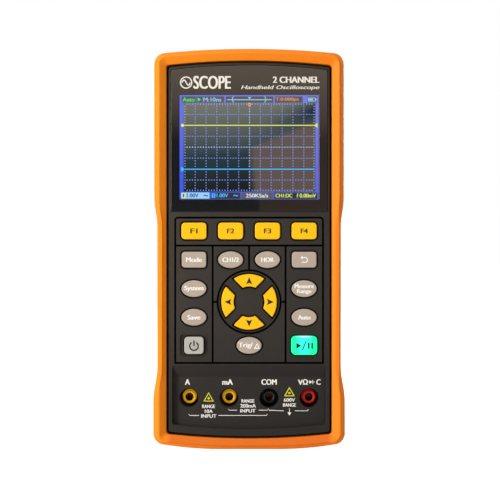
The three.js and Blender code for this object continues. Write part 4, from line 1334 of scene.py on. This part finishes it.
fluoro_paint = moulded("fluoroplastic_white", srgb(238, 236, 228), 0.35, "fluoroplastic")
screw_steel = metal("screw_steel", srgb(120, 122, 126), 0.3, "steel")
stand_paint = case_black("stand_black", srgb(40, 38, 36))
make_sockets_above()
make_back()


# ---------------------------------------------------------------- the parts inside, as they are


def paint_node(node, paint):
    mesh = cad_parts[node]
    mesh.data.materials.clear()
    mesh.data.materials.append(paint.material)


def paint_inside():
    board = circuit_board()
    black = moulded("moulded_black", srgb(28, 28, 29), 0.45, "black_plastic")
    fuse = fuse_body()
    cell = cell_sleeve()
    tin = metal("tin_plate", srgb(196, 198, 200), 0.32, "tin_plate")
    inside = {
        "case_gasket": moulded("gasket_rubber", srgb(32, 32, 34), 0.75, "gasket_rubber"),
        "lcd_panel": moulded("panel_glass", srgb(22, 24, 30), 0.15, "screen"),
        "lcd_tray": tin,
        "lcd_flex": moulded("flex_amber", srgb(184, 112, 42), 0.4, "flex_amber"),
        "key_mat": moulded("mat_rubber", srgb(58, 58, 60), 0.75, "gasket_rubber"),
        "main_board": board, "meter_board": board,
        "shield_can": tin,
        "buzzer": black, "battery_holder": black, "fuse_holder_large": tin, "fuse_holder_small": tin,
        "fuse_large": fuse, "fuse_small": fuse,
        "battery_cell_one": cell, "battery_cell_two": cell,
    }
    for node, paint in inside.items():
        paint_node(node, paint)


paint_inside()


# ---------------------------------------------------------------- camera, floor and light


def make_stage():
    scene = bpy.context.scene
    scene.view_settings.view_transform = "Standard"
    data = bpy.data.cameras.new("camera")
    data.sensor_width = 36
    data.lens = 82
    data.dof.use_dof = False
    data.clip_start = 0.01
    data.clip_end = 50
    camera = bpy.data.objects.new("camera", data)
    camera.location = (0.00044, FACE * MM - 0.5625, 0.0985)
    camera.rotation_euler = (math.pi / 2, 0, 0)
    scene.collection.objects.link(camera)
    scene.camera = camera

    bpy.ops.mesh.primitive_plane_add(size=12, location=(0, 0, -0.0005))
    floor = bpy.context.view_layer.objects.active
    floor.name = "floor"
    paper = Finish("paper", (0.45, 0.45, 0.45, 1), 0.9)
    floor.data.materials.append(paper.material)
    paper.shader.inputs["Emission Strength"].default_value = 1.0
    seen_share = paper.node("ShaderNodeLightPath", output="Is Camera Ray")
    paper.set("Emission Color", paper.mix(seen_share, (0.25, 0.25, 0.25, 1), (1, 1, 1, 1)))

    world = bpy.data.worlds.new("studio")
    world.use_nodes = True
    scene.world = world
    tree = world.node_tree
    seen = tree.nodes["Background"]
    seen.inputs["Color"].default_value = (1, 1, 1, 1)
    seen.inputs["Strength"].default_value = 1.0
    light = tree.nodes.new("ShaderNodeBackground")
    light.inputs["Color"].default_value = (1, 0.99, 0.975, 1)
    light.inputs["Strength"].default_value = 0.15
    rays = tree.nodes.new("ShaderNodeLightPath")
    blend = tree.nodes.new("ShaderNodeMixShader")
    tree.links.new(rays.outputs["Is Camera Ray"], blend.inputs["Fac"])
    tree.links.new(light.outputs["Background"], blend.inputs[1])
    tree.links.new(seen.outputs["Background"], blend.inputs[2])
    tree.links.new(blend.outputs["Shader"], tree.nodes["World Output"].inputs["Surface"])

    lamps = (
        ("key", (-0.85, -0.7, 0.12), 0.4, 12.6, (1.0, 0.98, 0.95)),
        ("fill", (0.6, -0.8, -0.15), 0.6, 2.2, (1.0, 0.96, 0.92)),
        ("top", (-0.1, -0.35, 0.95), 0.5, 5.0, (1.0, 1.0, 1.0)),
        ("rear", (0.6, 0.9, 0.5), 0.7, 12.0, (1.0, 1.0, 1.0)),
    )
    for name, spot, size, power, color in lamps:
        data = bpy.data.lights.new(name, "AREA")
        data.size = size
        data.energy = power
        data.color = color
        lamp = bpy.data.objects.new(name, data)
        lamp.location = spot
        lamp.rotation_euler = (Vector((0, 0, 0.1)) - Vector(spot)).to_track_quat("-Z", "Y").to_euler()
        scene.collection.objects.link(lamp)


make_stage()
